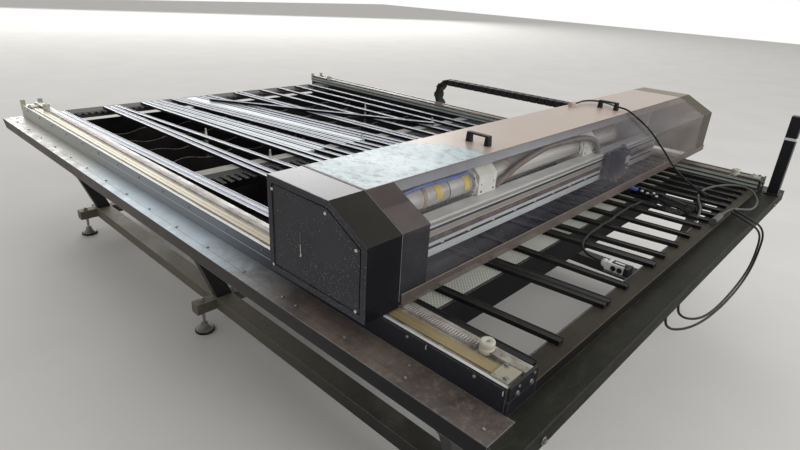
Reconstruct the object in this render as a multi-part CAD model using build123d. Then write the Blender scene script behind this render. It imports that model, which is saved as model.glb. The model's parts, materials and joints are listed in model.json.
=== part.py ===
from build123d import *
import math
import os

os.makedirs("parts", exist_ok=True)

# Large-format laser cutting and engraving machine, in millimetres, +Z up.
# X runs across the table, from the near side to the far side. Y runs along the rails, to the back.
# Everything is drawn about the table's centre line and moved to the part's frame when it is saved.
NEAR = -1
FAR = 1

# table and ledges
ledge_past_beam = 46.0
ledge_end = 1885.0
ledge_top = 750.0
ledge_lip = 52.0
ledge_sheet = 3.0
ledge_seam = 61.0
front_flat = 85.0
lip_chamfer = 45.0
rail_inner = 1100.0
rail_width = 125.0
riser_top = 790.0
beam_past_rail = 65.0
side_beam_drop = 87.0
beam_end_gap = 15.0
back_end_gap = 10.0

# cross beams, combs and slats
beam_depth = 57.0
beam_width = 65.0
bed_top = 785.0
slat_height = 15.0
slat_width = 28.0
slat_groove_depth = 2.0
slat_ridge = 4.0
slat_front_end = -1765.0
slat_bearing = 40.0
front_slats_back = -1000.0
back_slats_front = -900.0
askew_front = 60.0
askew_back = 1500.0
comb_sheet = 6.0
comb_pitch = 40.0
comb_tooth_gap = 22.0
middle_comb_front = -80.0
middle_comb_band = 70.0
middle_comb_back = 140.0
back_comb_front = 1590.0
back_comb_teeth = 60.0
back_comb_back = 1760.0
front_comb_height = 40.0
front_comb_sheet = 4.0
strip_front = -1420.0
strip_width = 100.0
strip_height = 10.0

# waste tray
tray_floor = 600.0
tray_sheet = 2.0
tray_gap = 4.0
tray_behind_strip = 50.0
divider_pitch = 250.0
divider_first = 600.0
divider_count = 5
divider_top = 700.0
divider_wave = 12.0

# rails
rail_height = 31.0
rail_edge_width = 11.0
rail_edge_height = 5.0
rail_inner_groove = 8.0
guide_inset = 38.0
guide_width = 22.0
belt_past_guide = 25.0
belt_width = 38.0
belt_thick = 4.0
guide_height = 8.0
guide_front = -1645.0
stop_dia = 40.0
stop_height = 35.0
stop_bore = 12.0
stop_gap = 6.0
bar_overlap = 10.5
bar_clearance = 0.5
bar_height = 12.0
clamp_past_belt = 12.5
clamp_length = 48.0
clamp_thick = 6.0
clamp_end = 1784.0
clamp_screw = 8.0
end_plate = 8.0
end_plate_top = 832.0
bracket_sheet = 6.0
bracket_height = 62.0
bracket_notch = 70.0

# stand
long_tube_inner = 915.0
long_tube_width = 90.0
long_tube_end = 1600.0
tube_top = 172.0
tube_height = 60.0
tube_wall = 4.0
cross_tube = 56.0
cross_places = (-1530.0, 0.0, 1530.0)
arm_end = 1110.0
foot_centre = 1068.0
pad_dia = 95.0
pad_top = 50.0
pad_neck = 34.0
pad_rim = 14.0
stud_dia = 16.0
stud_fit = 0.2
stud_above = 18.0
nut_width = 26.0
nut_height = 12.0
leg_thick = 50.0
leg_width = 80.0
leg_foot = 997.0
leg_knee = 1076.0
leg_knee_height = 387.0
leg_head_inset = 27.0

# post on the far front corner
post_x = 1220.0
post_y = -1850.0
post_width = 50.0
post_top = 1160.0
post_plate = 68.0
post_plate_thick = 6.0
post_wall = 3.0

# hood and gantry
hood_back = -963.0
hood_edge = -1238.5
hood_front = -1390.0
hood_bottom = 830.0
shoulder_drop = 81.0
roof_above_laser = 129.0
cap_near_width = 131.0
seam_past_belt = 4.5
housing_width = 117.5
window_past_rail = 135.0
cap_far_width = 151.0
strip_overhang = 10.0
hood_sheet = 3.0
acrylic = 4.0
window_corner = 30.0
panel_inset = 22.0
panel_recess = 4.0
panel_sheet = 2.0
housing_sheet = 2.0
edge_strip_width = 34.0
edge_strip_thick = 3.0
bottom_strip_height = 32.0
bottom_strip_thick = 3.0
back_lift = 5.0

# gantry beam and carriages
runner_gap = 0.2
runner_length = 90.0
runner_width = 36.0
runner_top = 850.0
runner_front = -1375.0
runner_back = -970.0
runner_skirt = 823.5
saddle_thick = 12.0
beam_front = -1250.0
beam_back = -1195.0
beam_bottom = 840.0
beam_top = 970.0
beam_flange_back = -1090.0
beam_flange = 20.0
beam_slot_width = 10.0
beam_slot_depth = 8.0
head_guide_z = 905.0
head_guide_height = 15.0
head_guide_depth = 10.0

# laser tube
laser_y = -1150.0
laser_above_beam = 170.0
laser_dia = 85.0
laser_start = -1000.0
laser_end = 640.0
laser_neck_dia = 46.0
laser_neck = 60.0
support_places = (-520.0, 300.0)
support_width = 110.0
support_half = 62.0
support_foot_inset = 22.0
support_step = 2.0
support_gap = 0.3

# head
head_x = 475.0
carriage_width = 170.0
carriage_bottom = 846.0
carriage_top = 980.0
carriage_plate = 12.0
carriage_gap = 0.3
head_width = 70.0
head_depth = 62.0
head_bottom = 872.0
head_top = 990.0
nozzle_tip = 824.0
nozzle_tip_dia = 8.0
nozzle_dia = 40.0
nozzle_bore = 4.0
nozzle_collar = 18.0

# handles
handle_places = (-500.0, 600.0)
handle_front = -1190.0
handle_back = -1085.0
handle_height = 38.0
handle_width = 22.0
handle_bar = 7.0
handle_foot = 22.0
handle_head = 19.0

# cable chain
chain_inner = 1245.0
chain_width = 70.0
chain_height = 40.0
chain_core = 30.0
chain_side_plate = 5.0
chain_bend_y = 400.0
chain_top = 1000.0
chain_start = 20.0
chain_link = 50.0
chain_pitch = 60.0
chain_bend_link = 36.0

# loose things at the front
fitting_x = 380.0
fitting_y = -1784.0
fitting_length = 100.0
fitting_dia = 28.0
lying_gap = 0.2
connector_x = -368.0
connector_length = 84.0
connector_width = 46.0
connector_height = 30.0
connector_tail = 20.0
connector_bracket = 85.0
bracket_thick = 4.0
gland_dia = 22.0
outlet_length = 40.0
outlet_round = 8.0
cable_dia = 9.0
coil_dia = 10.0
bundle_dia = 22.0
plug_length = 40.0
plug_dia = 24.0

# worked out from the above
rail_outer = rail_inner + rail_width
side_beam_outer = rail_outer + beam_past_rail
ledge_half = side_beam_outer + ledge_past_beam
leg_head = side_beam_outer - leg_head_inset
guide_centre = rail_inner + guide_inset
belt_inner = guide_centre + belt_past_guide
belt_outer = belt_inner + belt_width
clamp_inner = belt_inner - clamp_past_belt
clamp_outer = belt_outer + clamp_past_belt
seam = belt_inner + seam_past_belt
cap_near_outer = seam + cap_near_width
housing_inner = seam - housing_width
window_far = rail_outer + window_past_rail
cap_far_outer = window_far + cap_far_width
laser_z = beam_bottom + laser_above_beam
hood_roof = laser_z + roof_above_laser
hood_shoulder = hood_roof - shoulder_drop
back_comb_band = back_comb_front + back_comb_teeth
cross_reach = cap_far_outer + strip_overhang
table_x = (ledge_half - cross_reach) / 2
rail_top = riser_top + rail_height
riser_front = -(ledge_end - front_flat)
rail_front = riser_front + end_plate
rail_back = ledge_end - beam_end_gap + back_end_gap - bracket_sheet
ledge_bed = ledge_top - ledge_sheet
beam_inner = riser_front + beam_width


def save(name, shape):
    """One sub-part, moved from the table's centre line to the part's frame."""
    export_step(Pos(table_x, 0, 0) * shape, "parts/" + name + ".step")


def block(x0, x1, y0, y1, z0, z1):
    """A box between two corners, given in any order."""
    size = Box(abs(x1 - x0), abs(y1 - y0), abs(z1 - z0))
    return Pos((x0 + x1) / 2, (y0 + y1) / 2, (z0 + z1) / 2) * size


def side_block(side, d0, d1, y0, y1, z0, z1):
    """A box at distances d0 to d1 from the centre line, on the near or the far side."""
    return block(side * d0, side * d1, y0, y1, z0, z1)


def prism_y(points, y0, y1):
    """An outline in X and Z, extruded along Y."""
    face = make_face(Polyline(*[(x, 0, z) for x, z in points], close=True))
    return Pos(0, y0, 0) * extrude(face, amount=y1 - y0, dir=(0, 1, 0))


def prism_x(points, x0, x1):
    """An outline in Y and Z, extruded along X."""
    face = make_face(Polyline(*[(0, y, z) for y, z in points], close=True))
    return Pos(x0, 0, 0) * extrude(face, amount=x1 - x0, dir=(1, 0, 0))


def rod_x(x0, x1, y, z, dia):
    """A cylinder along X."""
    return Pos((x0 + x1) / 2, y, z) * Rot(0, 90, 0) * Cylinder(dia / 2, abs(x1 - x0))


def rod_z(x, y, z0, z1, dia):
    """A cylinder along Z."""
    return Pos(x, y, (z0 + z1) / 2) * Cylinder(dia / 2, z1 - z0)


def cord(name, points, dia):
    """A tube of straight runs and tangent arcs through a route. Prints its bend radii."""
    at = [Vector(*p) for p in points]
    radii = []
    for a, b, c in zip(at, at[1:], at[2:]):
        half_turn = math.radians((b - a).get_angle(c - b)) / 2
        shorter = min((b - a).length, (c - b).length)
        radii.append(round(0.45 * shorter / math.tan(half_turn), 1))
    print(name, "radii", radii)
    path = FilletPolyline(*at, radius=radii)
    return sweep(Plane(origin=path @ 0, z_dir=path % 0) * Circle(dia / 2), path=path)


# Stand
def base_frame():
    """Welded ladder of rectangular tubes, with arms that carry the feet."""
    low = tube_top - tube_height
    frame = None
    for side in (NEAR, FAR):
        outer = long_tube_inner + long_tube_width
        tube = side_block(side, long_tube_inner, outer, -long_tube_end, long_tube_end, low, tube_top)
        bore = side_block(
            side, long_tube_inner + tube_wall, outer - tube_wall,
            -long_tube_end, long_tube_end, low + tube_wall, tube_top - tube_wall,
        )
        frame = (tube - bore) if frame is None else frame + (tube - bore)
        for y in cross_places:
            arm = side_block(
                side, outer, arm_end, y - cross_tube / 2, y + cross_tube / 2,
                tube_top - cross_tube, tube_top,
            )
            hole = rod_z(side * foot_centre, y, low, tube_top + 1, stud_dia + 2 * stud_fit)
            frame = frame + (arm - hole)
    for y in cross_places:
        frame = frame + block(
            -long_tube_inner, long_tube_inner, y - cross_tube / 2, y + cross_tube / 2,
            tube_top - cross_tube, tube_top,
        )
    return frame


def legs(side):
    """Three bent legs, from the base frame's long tube out to the side beam."""
    head = ledge_bed - side_beam_drop
    outline = [
        (side * leg_foot, tube_top),
        (side * leg_knee, leg_knee_height),
        (side * leg_head, head),
        (side * (leg_head - leg_width), head),
        (side * (leg_knee - leg_width), leg_knee_height),
        (side * (leg_foot - leg_width), tube_top),
    ]
    made = [prism_y(outline, y - leg_thick / 2, y + leg_thick / 2) for y in cross_places]
    return Compound(children=made)


def foot_studs():
    """Levelling screws with a lock nut under and a nut on top of each arm."""
    made = []
    low = tube_top - cross_tube
    for side in (NEAR, FAR):
        for y in cross_places:
            x = side * foot_centre
            stud = rod_z(x, y, pad_top, tube_top + stud_above, stud_dia)
            nut = extrude(RegularPolygon(nut_width / 2, 6), amount=nut_height)
            stud = stud + Pos(x, y, low - nut_height) * nut + Pos(x, y, tube_top) * nut
            made.append(stud)
    return Compound(children=made)


def foot_pads():
    """Turned pads with a low rim and a tapered neck."""
    outline = Polyline(
        (0, 0, 0), (pad_dia / 2, 0, 0), (pad_dia / 2, 0, pad_rim),
        (pad_neck / 2, 0, pad_top), (0, 0, pad_top), close=True,
    )
    pad = revolve(make_face(outline), Axis.Z)
    made = [Pos(side * foot_centre, y, 0) * pad for side in (NEAR, FAR) for y in cross_places]
    return Compound(children=made)


# Table
def side_frame(side):
    """Side beam with the riser that carries the rail."""
    low = ledge_bed - side_beam_drop
    end = ledge_end - beam_end_gap
    beam = side_block(side, rail_inner, side_beam_outer, -end, end, low, ledge_bed)
    riser = side_block(side, rail_inner, rail_outer, riser_front, end, ledge_bed, riser_top)
    return beam + riser


def front_beam():
    """Stepped cross beam between the side beams. The front ledge lies on its step."""
    end = ledge_end - beam_end_gap
    low = ledge_bed - beam_depth
    step = block(-rail_inner, rail_inner, -end, beam_inner, low, ledge_bed)
    return step + block(-rail_inner, rail_inner, riser_front, beam_inner, ledge_bed, bed_top)


def ledge_side(side):
    """Folded sheet: a flat beside the rail and a lip down the outside, cut back at the rear."""
    front = -(ledge_end - ledge_seam)
    flat = side_block(side, rail_outer, ledge_half, front, ledge_end, ledge_bed, ledge_top)
    lip = side_block(
        side, ledge_half - ledge_sheet, ledge_half, front, ledge_end,
        ledge_top - ledge_lip, ledge_top,
    )
    sheet = flat + lip
    corner = [e for e in sheet.edges().filter_by(Axis.Y)
              if abs(e.center().X - side * ledge_half) < 1 and e.center().Z > ledge_bed]
    sheet = fillet(corner, ledge_sheet - 0.5)
    low = ledge_top - ledge_lip
    cut = make_face(Polyline(
        (0, ledge_end, low), (0, ledge_end, low + lip_chamfer),
        (0, ledge_end - lip_chamfer, low), close=True,
    ))
    tool = extrude(cut, amount=2 * ledge_half, both=True, dir=(1, 0, 0))
    return sheet - tool


def ledge_front():
    """Folded sheet across the front, with both corners and a lip on three sides."""
    low = ledge_top - ledge_lip
    seam_y = -(ledge_end - ledge_seam)
    outer = block(-ledge_half, ledge_half, -ledge_end, seam_y, low, ledge_top)
    inner = block(
        -ledge_half + ledge_sheet, ledge_half - ledge_sheet,
        -ledge_end + ledge_sheet, seam_y + 1, low - 1, ledge_bed,
    )
    tongue = block(-rail_outer, rail_outer, seam_y, riser_front, ledge_bed, ledge_top)
    sheet = (outer - inner) + tongue
    corner = [e for e in sheet.edges().filter_by(Axis.X)
              if abs(e.center().Y + ledge_end) < 1 and e.center().Z > ledge_bed]
    return fillet(corner, ledge_sheet - 0.5)


def comb_plate(tooth_front, band_front):
    """A flat sheet whose front edge is cut into teeth."""
    plate = block(-rail_inner, rail_inner, tooth_front, band_front, bed_top - comb_sheet, bed_top)
    count = int(2 * rail_inner // comb_pitch)
    first = -comb_pitch * (count - 1) / 2
    notch = Box(comb_tooth_gap, (band_front - tooth_front) * 1.2, 3 * comb_sheet)
    places = [(first + i * comb_pitch, tooth_front, bed_top) for i in range(count)]
    return plate - [Pos(*p) * notch for p in places]


def middle_comb():
    """Cross bar in the middle with a toothed sheet on its front."""
    bar = block(
        -rail_inner, rail_inner, middle_comb_band, middle_comb_back,
        bed_top - front_comb_height, bed_top,
    )
    return bar + comb_plate(middle_comb_front, middle_comb_band)


def back_comb():
    """Cross bar at the back with a toothed sheet on its front."""
    bar = block(
        -rail_inner, rail_inner, back_comb_band, back_comb_back,
        bed_top - front_comb_height, bed_top,
    )
    return bar + comb_plate(back_comb_front, back_comb_band)


def front_comb():
    """Upright strip on the front beam's inner edge, with the bracket of the loose connector."""
    strip = block(
        -rail_inner, rail_inner, beam_inner, beam_inner + front_comb_sheet,
        bed_top - front_comb_height, bed_top,
    )
    half = connector_width / 2 + bracket_thick
    shelf = block(
        connector_x - half, connector_x + half, beam_inner + front_comb_sheet,
        beam_inner + connector_bracket, bed_top - bracket_thick, bed_top,
    )
    return strip + shelf


def support_strip():
    """Flat bar under the front slats, with a perforated face."""
    return block(
        -rail_inner, rail_inner, strip_front, strip_front + strip_width,
        bed_top - strip_height, bed_top,
    )


def slat(x_front, y_front, x_back, y_back, width, lift=0.0):
    """A straight slat with a shallow groove between two ridges on its top."""
    run = math.hypot(x_back - x_front, y_back - y_front)
    turn = math.degrees(math.atan2(x_front - x_back, y_back - y_front))
    bar = Box(width, run, slat_height)
    groove = Box(width - 2 * slat_ridge, run, 2 * slat_groove_depth)
    body = bar - Pos(0, 0, slat_height / 2) * groove
    middle_z = bed_top + lift + slat_height / 2
    return Pos((x_front + x_back) / 2, (y_front + y_back) / 2, middle_z) * Rot(0, 0, turn) * body


# Each slat: its place at its front end, its place at its back end, and its width, as they lie.
front_slat_places = (
    (-1056, -1067, slat_width), (-913, -967, slat_width), (-635, -715, slat_width),
    (-605, -685, slat_width), (-466, -519, slat_width), (-228, -311, 1.5 * slat_width),
    (-127, -228, slat_width), (16, -87, slat_width), (147, 74, slat_width), (290, 231, slat_width),
    (390, 337, slat_width), (478, 431, slat_width), (566, 525, slat_width), (656, 620, slat_width),
    (748, 719, slat_width), (842, 820, slat_width), (936, 921, slat_width),
    (1034, 1024, slat_width),
)
back_slat_places = (
    (-1013, -1080, slat_width), (-983, -1050, slat_width), (-736, -790, slat_width),
    (-680, -757, slat_width), (-515, -722, slat_width), (-355, -540, slat_width),
    (-291, -503, slat_width), (-180, -463, slat_width), (-100, -415, slat_width),
    (16, -320, slat_width), (82, -284, slat_width), (159, -250, slat_width),
    (225, -130, slat_width), (275, -90, slat_width), (330, -40, slat_width), (375, 190, slat_width),
    (420, 235, slat_width), (560, 430, slat_width), (690, 600, slat_width), (830, 780, slat_width),
    (950, 930, slat_width),
)
slat_back_end = back_comb_band + slat_bearing
askew_places = (705, -125)


def front_slats():
    made = [slat(a, slat_front_end, b, front_slats_back, w) for a, b, w in front_slat_places]
    return Compound(children=made)


def back_slats():
    made = [slat(a, back_slats_front, b, slat_back_end, w) for a, b, w in back_slat_places]
    front, back = askew_places
    made.append(slat(front, askew_front, back, askew_back, slat_width, slat_height))
    return Compound(children=made)


def folded_tray(front, back):
    """Open tray of folded sheet, as wide as the space between the side beams."""
    rim = ledge_bed - ledge_sheet
    tray = block(-rail_inner, rail_inner, front, back, tray_floor, rim)
    hollow = block(
        -rail_inner + tray_sheet, rail_inner - tray_sheet, front + tray_sheet, back - tray_sheet,
        tray_floor + tray_sheet, rim + 1,
    )
    return tray - hollow


def waste_tray():
    """Tray between the middle and the back comb."""
    return folded_tray(middle_comb_back + tray_gap, back_comb_front - tray_gap)


def front_tray():
    """Tray between the support strip and the middle comb."""
    return folded_tray(strip_front + tray_behind_strip, middle_comb_front - tray_gap)


def tray_dividers():
    """Upright partitions across the tray with a wavy top edge."""
    made = []
    reach = rail_inner - tray_sheet
    for i in range(divider_count):
        y = divider_first + (i - 1) * divider_pitch
        waves = 22
        top = [
            (-reach + 2 * reach * k / waves, divider_top + divider_wave * math.sin(2.1 * k + 1.3 * i))
            for k in range(waves + 1)
        ]
        low = tray_floor + tray_sheet
        face = make_face(
            Polyline((-reach, low), (reach, low), top[-1])
            + Spline(*reversed(top))
            + Line(top[0], (-reach, low))
        )
        sheet = extrude(Plane.XZ * face, amount=tray_sheet)
        made.append(Pos(0, y, 0) * sheet)
    return Compound(children=made)


# Rails
def guide_rail(side):
    """Aluminium module: a flat top with a raised outer edge and a groove in its inner face."""
    body = side_block(side, rail_inner, rail_outer, rail_front, rail_back, riser_top, rail_top)
    edge = side_block(
        side, rail_outer - rail_edge_width, rail_outer, rail_front, rail_back,
        rail_top, rail_top + rail_edge_height,
    )
    middle = (riser_top + rail_top) / 2
    groove = side_block(
        side, rail_inner - 1, rail_inner + rail_inner_groove, rail_front - 1, rail_back + 1,
        middle - rail_inner_groove / 2, middle + rail_inner_groove / 2,
    )
    return body + edge - groove


def linear_rails():
    """Ribbed strips that the runner blocks ride on, one on each module."""
    made = []
    for side in (NEAR, FAR):
        made.append(side_block(
            side, guide_centre - guide_width / 2, guide_centre + guide_width / 2,
            guide_front, -guide_front, rail_top, rail_top + guide_height,
        ))
    return Compound(children=made)


def drive_belts():
    """Flat toothed belts, clamped at both ends of each module."""
    made = []
    for side in (NEAR, FAR):
        made.append(side_block(
            side, belt_inner, belt_outer, -clamp_end + clamp_length / 2,
            clamp_end - clamp_length / 2, rail_top, rail_top + belt_thick,
        ))
    return Compound(children=made)


def belt_clamps():
    """Clamp plates over the belts' ends, stepped onto the module, with two screws each."""
    made = []
    for side in (NEAR, FAR):
        for end in (NEAR, FAR):
            y0 = end * (clamp_end - clamp_length)
            y1 = end * clamp_end
            low = rail_top + belt_thick
            plate = side_block(side, clamp_inner, clamp_outer, y0, y1, low, low + clamp_thick)
            step = side_block(
                side, clamp_inner, clamp_outer, end * (clamp_end - clamp_length / 2), y1, rail_top, low,
            )
            plate = plate + step
            for d in (clamp_inner + clamp_screw, clamp_outer - clamp_screw):
                head = rod_z(
                    side * d, y0 + end * clamp_screw, low + clamp_thick,
                    low + clamp_thick + clamp_screw / 2, clamp_screw,
                )
                plate = plate + head
            made.append(plate)
    return Compound(children=made)


def rail_stops():
    """Rubber stops at the ends of the linear rails."""
    made = []
    for side in (NEAR, FAR):
        for end in (NEAR, FAR):
            x = side * guide_centre
            y = end * (-guide_front + stop_gap + stop_dia / 2)
            stop = rod_z(x, y, rail_top, rail_top + stop_height, stop_dia)
            bore = rod_z(x, y, rail_top + stop_height / 2, rail_top + stop_height + 1, stop_bore)
            made.append(stop - bore)
    return Compound(children=made)


def stop_bars():
    """Bars that hold the stops against the module's ends."""
    made = []
    for side in (NEAR, FAR):
        for end, reach in ((NEAR, -rail_front), (FAR, rail_back)):
            near_y = -guide_front + stop_gap + stop_dia
            made.append(side_block(
                side, guide_centre - guide_width / 2 - bar_overlap, clamp_inner - bar_clearance,
                end * near_y, end * reach, rail_top, rail_top + bar_height,
            ))
    return Compound(children=made)


def front_end_plates():
    """Plates over the modules' front ends, bolted on."""
    made = []
    for side in (NEAR, FAR):
        plate = side_block(
            side, rail_inner, rail_outer, riser_front, rail_front, riser_top, end_plate_top,
        )
        made.append(plate)
    return Compound(children=made)


def back_end_brackets():
    """U-shaped brackets on the modules' back ends."""
    made = []
    for side in (NEAR, FAR):
        plate = side_block(
            side, rail_inner, rail_outer, rail_back, rail_back + bracket_sheet,
            riser_top, riser_top + bracket_height,
        )
        middle = side * (rail_inner + rail_outer) / 2
        notch = block(
            middle - bracket_notch / 2, middle + bracket_notch / 2, rail_back - 1,
            rail_back + bracket_sheet + 1, rail_top, riser_top + bracket_height + 1,
        )
        made.append(plate - notch)
    return Compound(children=made)


def post():
    """Square tube with a cap, welded to a base plate with two gussets."""
    half = post_width / 2
    low = ledge_top + post_plate_thick
    tube = block(post_x - half, post_x + half, post_y - half, post_y + half, low, post_top)
    bore = block(
        post_x - half + post_wall, post_x + half - post_wall, post_y - half + post_wall,
        post_y + half - post_wall, low - 1, post_top - post_wall,
    )
    plate_half = post_plate / 2
    plate = block(
        post_x - plate_half, post_x + plate_half, post_y - plate_half, post_y + plate_half,
        ledge_top, low,
    )
    return (tube - bore) + plate


# Hood: one outline in Y and Z that every piece is cut to
def hood_outline(inset):
    """The hood's section, drawn in from its outside by a sheet thickness."""
    slope = math.atan2(hood_roof - hood_shoulder, hood_edge - hood_front)
    drop = inset * math.tan(slope / 2)
    lean = inset * math.tan((math.pi / 2 - slope) / 2)
    return [
        (hood_back - inset, hood_bottom),
        (hood_back - inset, hood_roof - inset),
        (hood_edge + drop, hood_roof - inset),
        (hood_front + inset, hood_shoulder - lean),
        (hood_front + inset, hood_bottom),
    ]


def cap_section(inset):
    """A smaller outline of the cap's side, the same distance in all round."""
    face = make_face(Polyline(*[(0, y, z) for y, z in hood_outline(0)], close=True))
    return offset(face, amount=-inset)


def hood_cap_near():
    """Folded cap over the near side, with a recess for its cover panel."""
    cap = prism_x(hood_outline(0), -cap_near_outer, -seam)
    recess = extrude(cap_section(panel_inset), amount=panel_recess, dir=(1, 0, 0))
    return cap - Pos(-cap_near_outer, 0, 0) * recess


def cap_panel():
    """Cover panel set into the near cap's side."""
    panel = extrude(cap_section(panel_inset + 1), amount=panel_sheet, dir=(1, 0, 0))
    return Pos(-cap_near_outer + panel_recess - panel_sheet, 0, 0) * panel


def hood_cap_far():
    """Cap over the far side."""
    return prism_x(hood_outline(0), window_far, cap_far_outer)


def inner_housing():
    """Dark sheet housing behind the clear cover, open below, behind and towards the near cap."""
    outer = prism_x(hood_outline(acrylic), -seam, -housing_inner)
    inner = prism_x(hood_outline(acrylic + housing_sheet), -seam - 1, -housing_inner - housing_sheet)
    back = block(
        -seam - 1, -housing_inner - housing_sheet, hood_back, beam_back,
        0, hood_roof - acrylic - housing_sheet,
    )
    below = block(-seam - 1, -housing_inner + 1, hood_front, hood_back, 0, runner_top + saddle_thick)
    passage = block(
        -housing_inner - housing_sheet - 1, -housing_inner + 1, beam_front - 1,
        beam_flange_back + 1, beam_bottom - 1, beam_top + 1,
    )
    front_cut = block(
        -seam - 1, -housing_inner + 1, hood_front, hood_front + 3 * acrylic, 0, hood_bottom + back_lift,
    )
    shell = outer - inner - back - passage
    body_below = below - block(
        -seam - 2, -housing_inner + 2, hood_front - 1, hood_front + acrylic + housing_sheet, 0, hood_roof,
    )
    return shell - body_below - front_cut


def hood_top():
    """Flat top panel, with the low outlet that the hood cable comes out of."""
    front = hood_outline(acrylic)[2][0]
    panel = block(-seam, window_far, front, hood_back, hood_roof - hood_sheet, hood_roof)
    x, y, z = hood_cable_route[0]
    half = gland_dia / 2
    outlet = block(x - outlet_length, x, y - half, y + half, hood_roof, z + half)
    rounded = outlet.edges().filter_by(Axis.X).group_by(Axis.Z)[-1]
    return panel + fillet(rounded, outlet_round)


def hood_back_panel():
    """Back panel, under the top panel's edge."""
    return block(
        -seam, window_far, hood_back - hood_sheet, hood_back,
        hood_bottom + back_lift, hood_roof - hood_sheet,
    )


def top_edge_strip():
    """Strip behind the top of the clear cover, along the slope."""
    slope = math.atan2(hood_roof - hood_shoulder, hood_edge - hood_front)
    start_y, start_z = hood_outline(acrylic)[2]
    along = (-math.cos(slope), -math.sin(slope))
    inward = (math.sin(slope), -math.cos(slope))
    corner = (start_y, start_z - (hood_sheet - acrylic if hood_sheet > acrylic else 0))
    low = (corner[0] + edge_strip_width * along[0], corner[1] + edge_strip_width * along[1])
    low_in = (low[0] + edge_strip_thick * inward[0], low[1] + edge_strip_thick * inward[1])
    flange = corner[0] + edge_strip_width / 2
    outline = [
        corner, low, low_in, (corner[0] + edge_strip_thick / 2, corner[1] - edge_strip_thick),
        (flange, corner[1] - edge_strip_thick), (flange, corner[1]),
    ]
    return prism_x(outline, -housing_inner + 0.5, window_far)


def hood_window():
    """Bent clear cover: the slope and the front in one sheet, rounded at the near lower corner."""
    outer = hood_outline(0)
    inner = hood_outline(acrylic)
    outline = [outer[2], outer[3], outer[4], inner[4], inner[3], inner[2]]
    sheet = prism_x(outline, -seam, window_far)
    sheet = sheet - block(-seam - 1, window_far + 1, inner[2][0], hood_back, hood_bottom, hood_roof + 1)
    corner = [e for e in sheet.edges().filter_by(Axis.Y)
              if e.center().X < -seam + 1 and e.center().Z < hood_bottom + 1]
    return fillet(corner, window_corner)


def bottom_strip():
    """Trim strip along the foot of the clear cover, running past the far cap."""
    return block(
        -housing_inner, cross_reach, hood_front - bottom_strip_thick, hood_front,
        hood_bottom + 1, hood_bottom + bottom_strip_height,
    )


def hood_handles():
    """Lift-off handles: a flat bar on two tapered feet."""
    made = []
    for x in handle_places:
        outline = [
            (handle_front, hood_roof), (handle_front + handle_foot, hood_roof),
            (handle_front + handle_head, hood_roof + handle_height - handle_bar),
            (handle_back - handle_head, hood_roof + handle_height - handle_bar),
            (handle_back - handle_foot, hood_roof), (handle_back, hood_roof),
            (handle_back - handle_bar / 2, hood_roof + handle_height),
            (handle_front + handle_bar / 2, hood_roof + handle_height),
        ]
        made.append(prism_x(outline, x - handle_width / 2, x + handle_width / 2))
    return Compound(children=made)


# Gantry
def end_carriage(side):
    """Two runner blocks under a saddle, with the upright plate that the beam is bolted to."""
    rail_z = rail_top + guide_height + runner_gap
    inner = guide_centre - runner_width / 2
    outer = guide_centre + runner_width / 2
    body = side_block(
        side, housing_inner + housing_sheet, outer, runner_front, runner_back,
        runner_top, runner_top + saddle_thick,
    )
    for y in (runner_front, runner_back - runner_length):
        runner = side_block(side, inner, outer, y, y + runner_length, runner_skirt, runner_top)
        channel = side_block(
            side, guide_centre - guide_width / 2 - runner_gap, guide_centre + guide_width / 2 + runner_gap,
            y - 1, y + runner_length + 1, runner_skirt - 1, rail_z,
        )
        body = body + (runner - channel)
    roof = hood_roof - acrylic - housing_sheet if side == NEAR else hood_roof - hood_sheet
    plate_in = housing_inner + housing_sheet
    plate_out = plate_in + saddle_thick
    foot = side_block(side, plate_in, plate_out, beam_front, runner_back, beam_bottom, beam_top)
    head = side_block(side, plate_in, plate_out, beam_back, runner_back, beam_top, roof)
    return body + foot + head


def gantry_beam():
    """Extruded beam: a grooved front web and a flange behind it that carries the laser tube."""
    reach = housing_inner + housing_sheet
    outline = [
        (beam_front, beam_bottom), (beam_flange_back, beam_bottom),
        (beam_flange_back, beam_bottom + beam_flange), (beam_back, beam_bottom + beam_flange),
        (beam_back, beam_top), (beam_front, beam_top),
    ]
    beam = prism_x(outline, -reach, reach)
    step = (beam_top - beam_bottom) / 4
    for k in (1, 3):
        z = beam_bottom + k * step
        slot = block(
            -reach - 1, reach + 1, beam_front - 1, beam_front + beam_slot_depth,
            z - beam_slot_width / 2, z + beam_slot_width / 2,
        )
        beam = beam - slot
    return beam


def head_guide():
    """Linear guide on the beam's front, between the two grooves."""
    reach = housing_inner - back_lift
    half = head_guide_height / 2
    return block(
        -reach, reach, beam_front - head_guide_depth, beam_front,
        head_guide_z - half, head_guide_z + half,
    )


def laser_tube():
    """Glass tube with a narrower neck at each end."""
    tube = rod_x(laser_start, laser_end, laser_y, laser_z, laser_dia)
    near_neck = rod_x(laser_start - laser_neck / 2, laser_start, laser_y, laser_z, laser_neck_dia)
    far_neck = rod_x(laser_end, laser_end + laser_neck, laser_y, laser_z, laser_neck_dia)
    return tube + near_neck + far_neck


def tube_supports():
    """Eight-sided clamp blocks on the beam's flange."""
    made = []
    half = support_half
    cut = half * 0.45
    foot = beam_bottom + beam_flange
    for x in support_places:
        outline = [
            (laser_y - half + support_foot_inset, foot), (laser_y + half, foot),
            (laser_y + half, laser_z + half - cut), (laser_y + half - cut, laser_z + half),
            (laser_y - half + cut, laser_z + half), (laser_y - half, laser_z + half - cut),
            (laser_y - half, beam_top + support_step),
            (laser_y - half + support_foot_inset, beam_top + support_step),
        ]
        shape = prism_x(outline, x - support_width / 2, x + support_width / 2)
        hole = rod_x(x - support_width, x + support_width, laser_y, laser_z, laser_dia + 2 * support_gap)
        made.append(shape - hole)
    return Compound(children=made)


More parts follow.
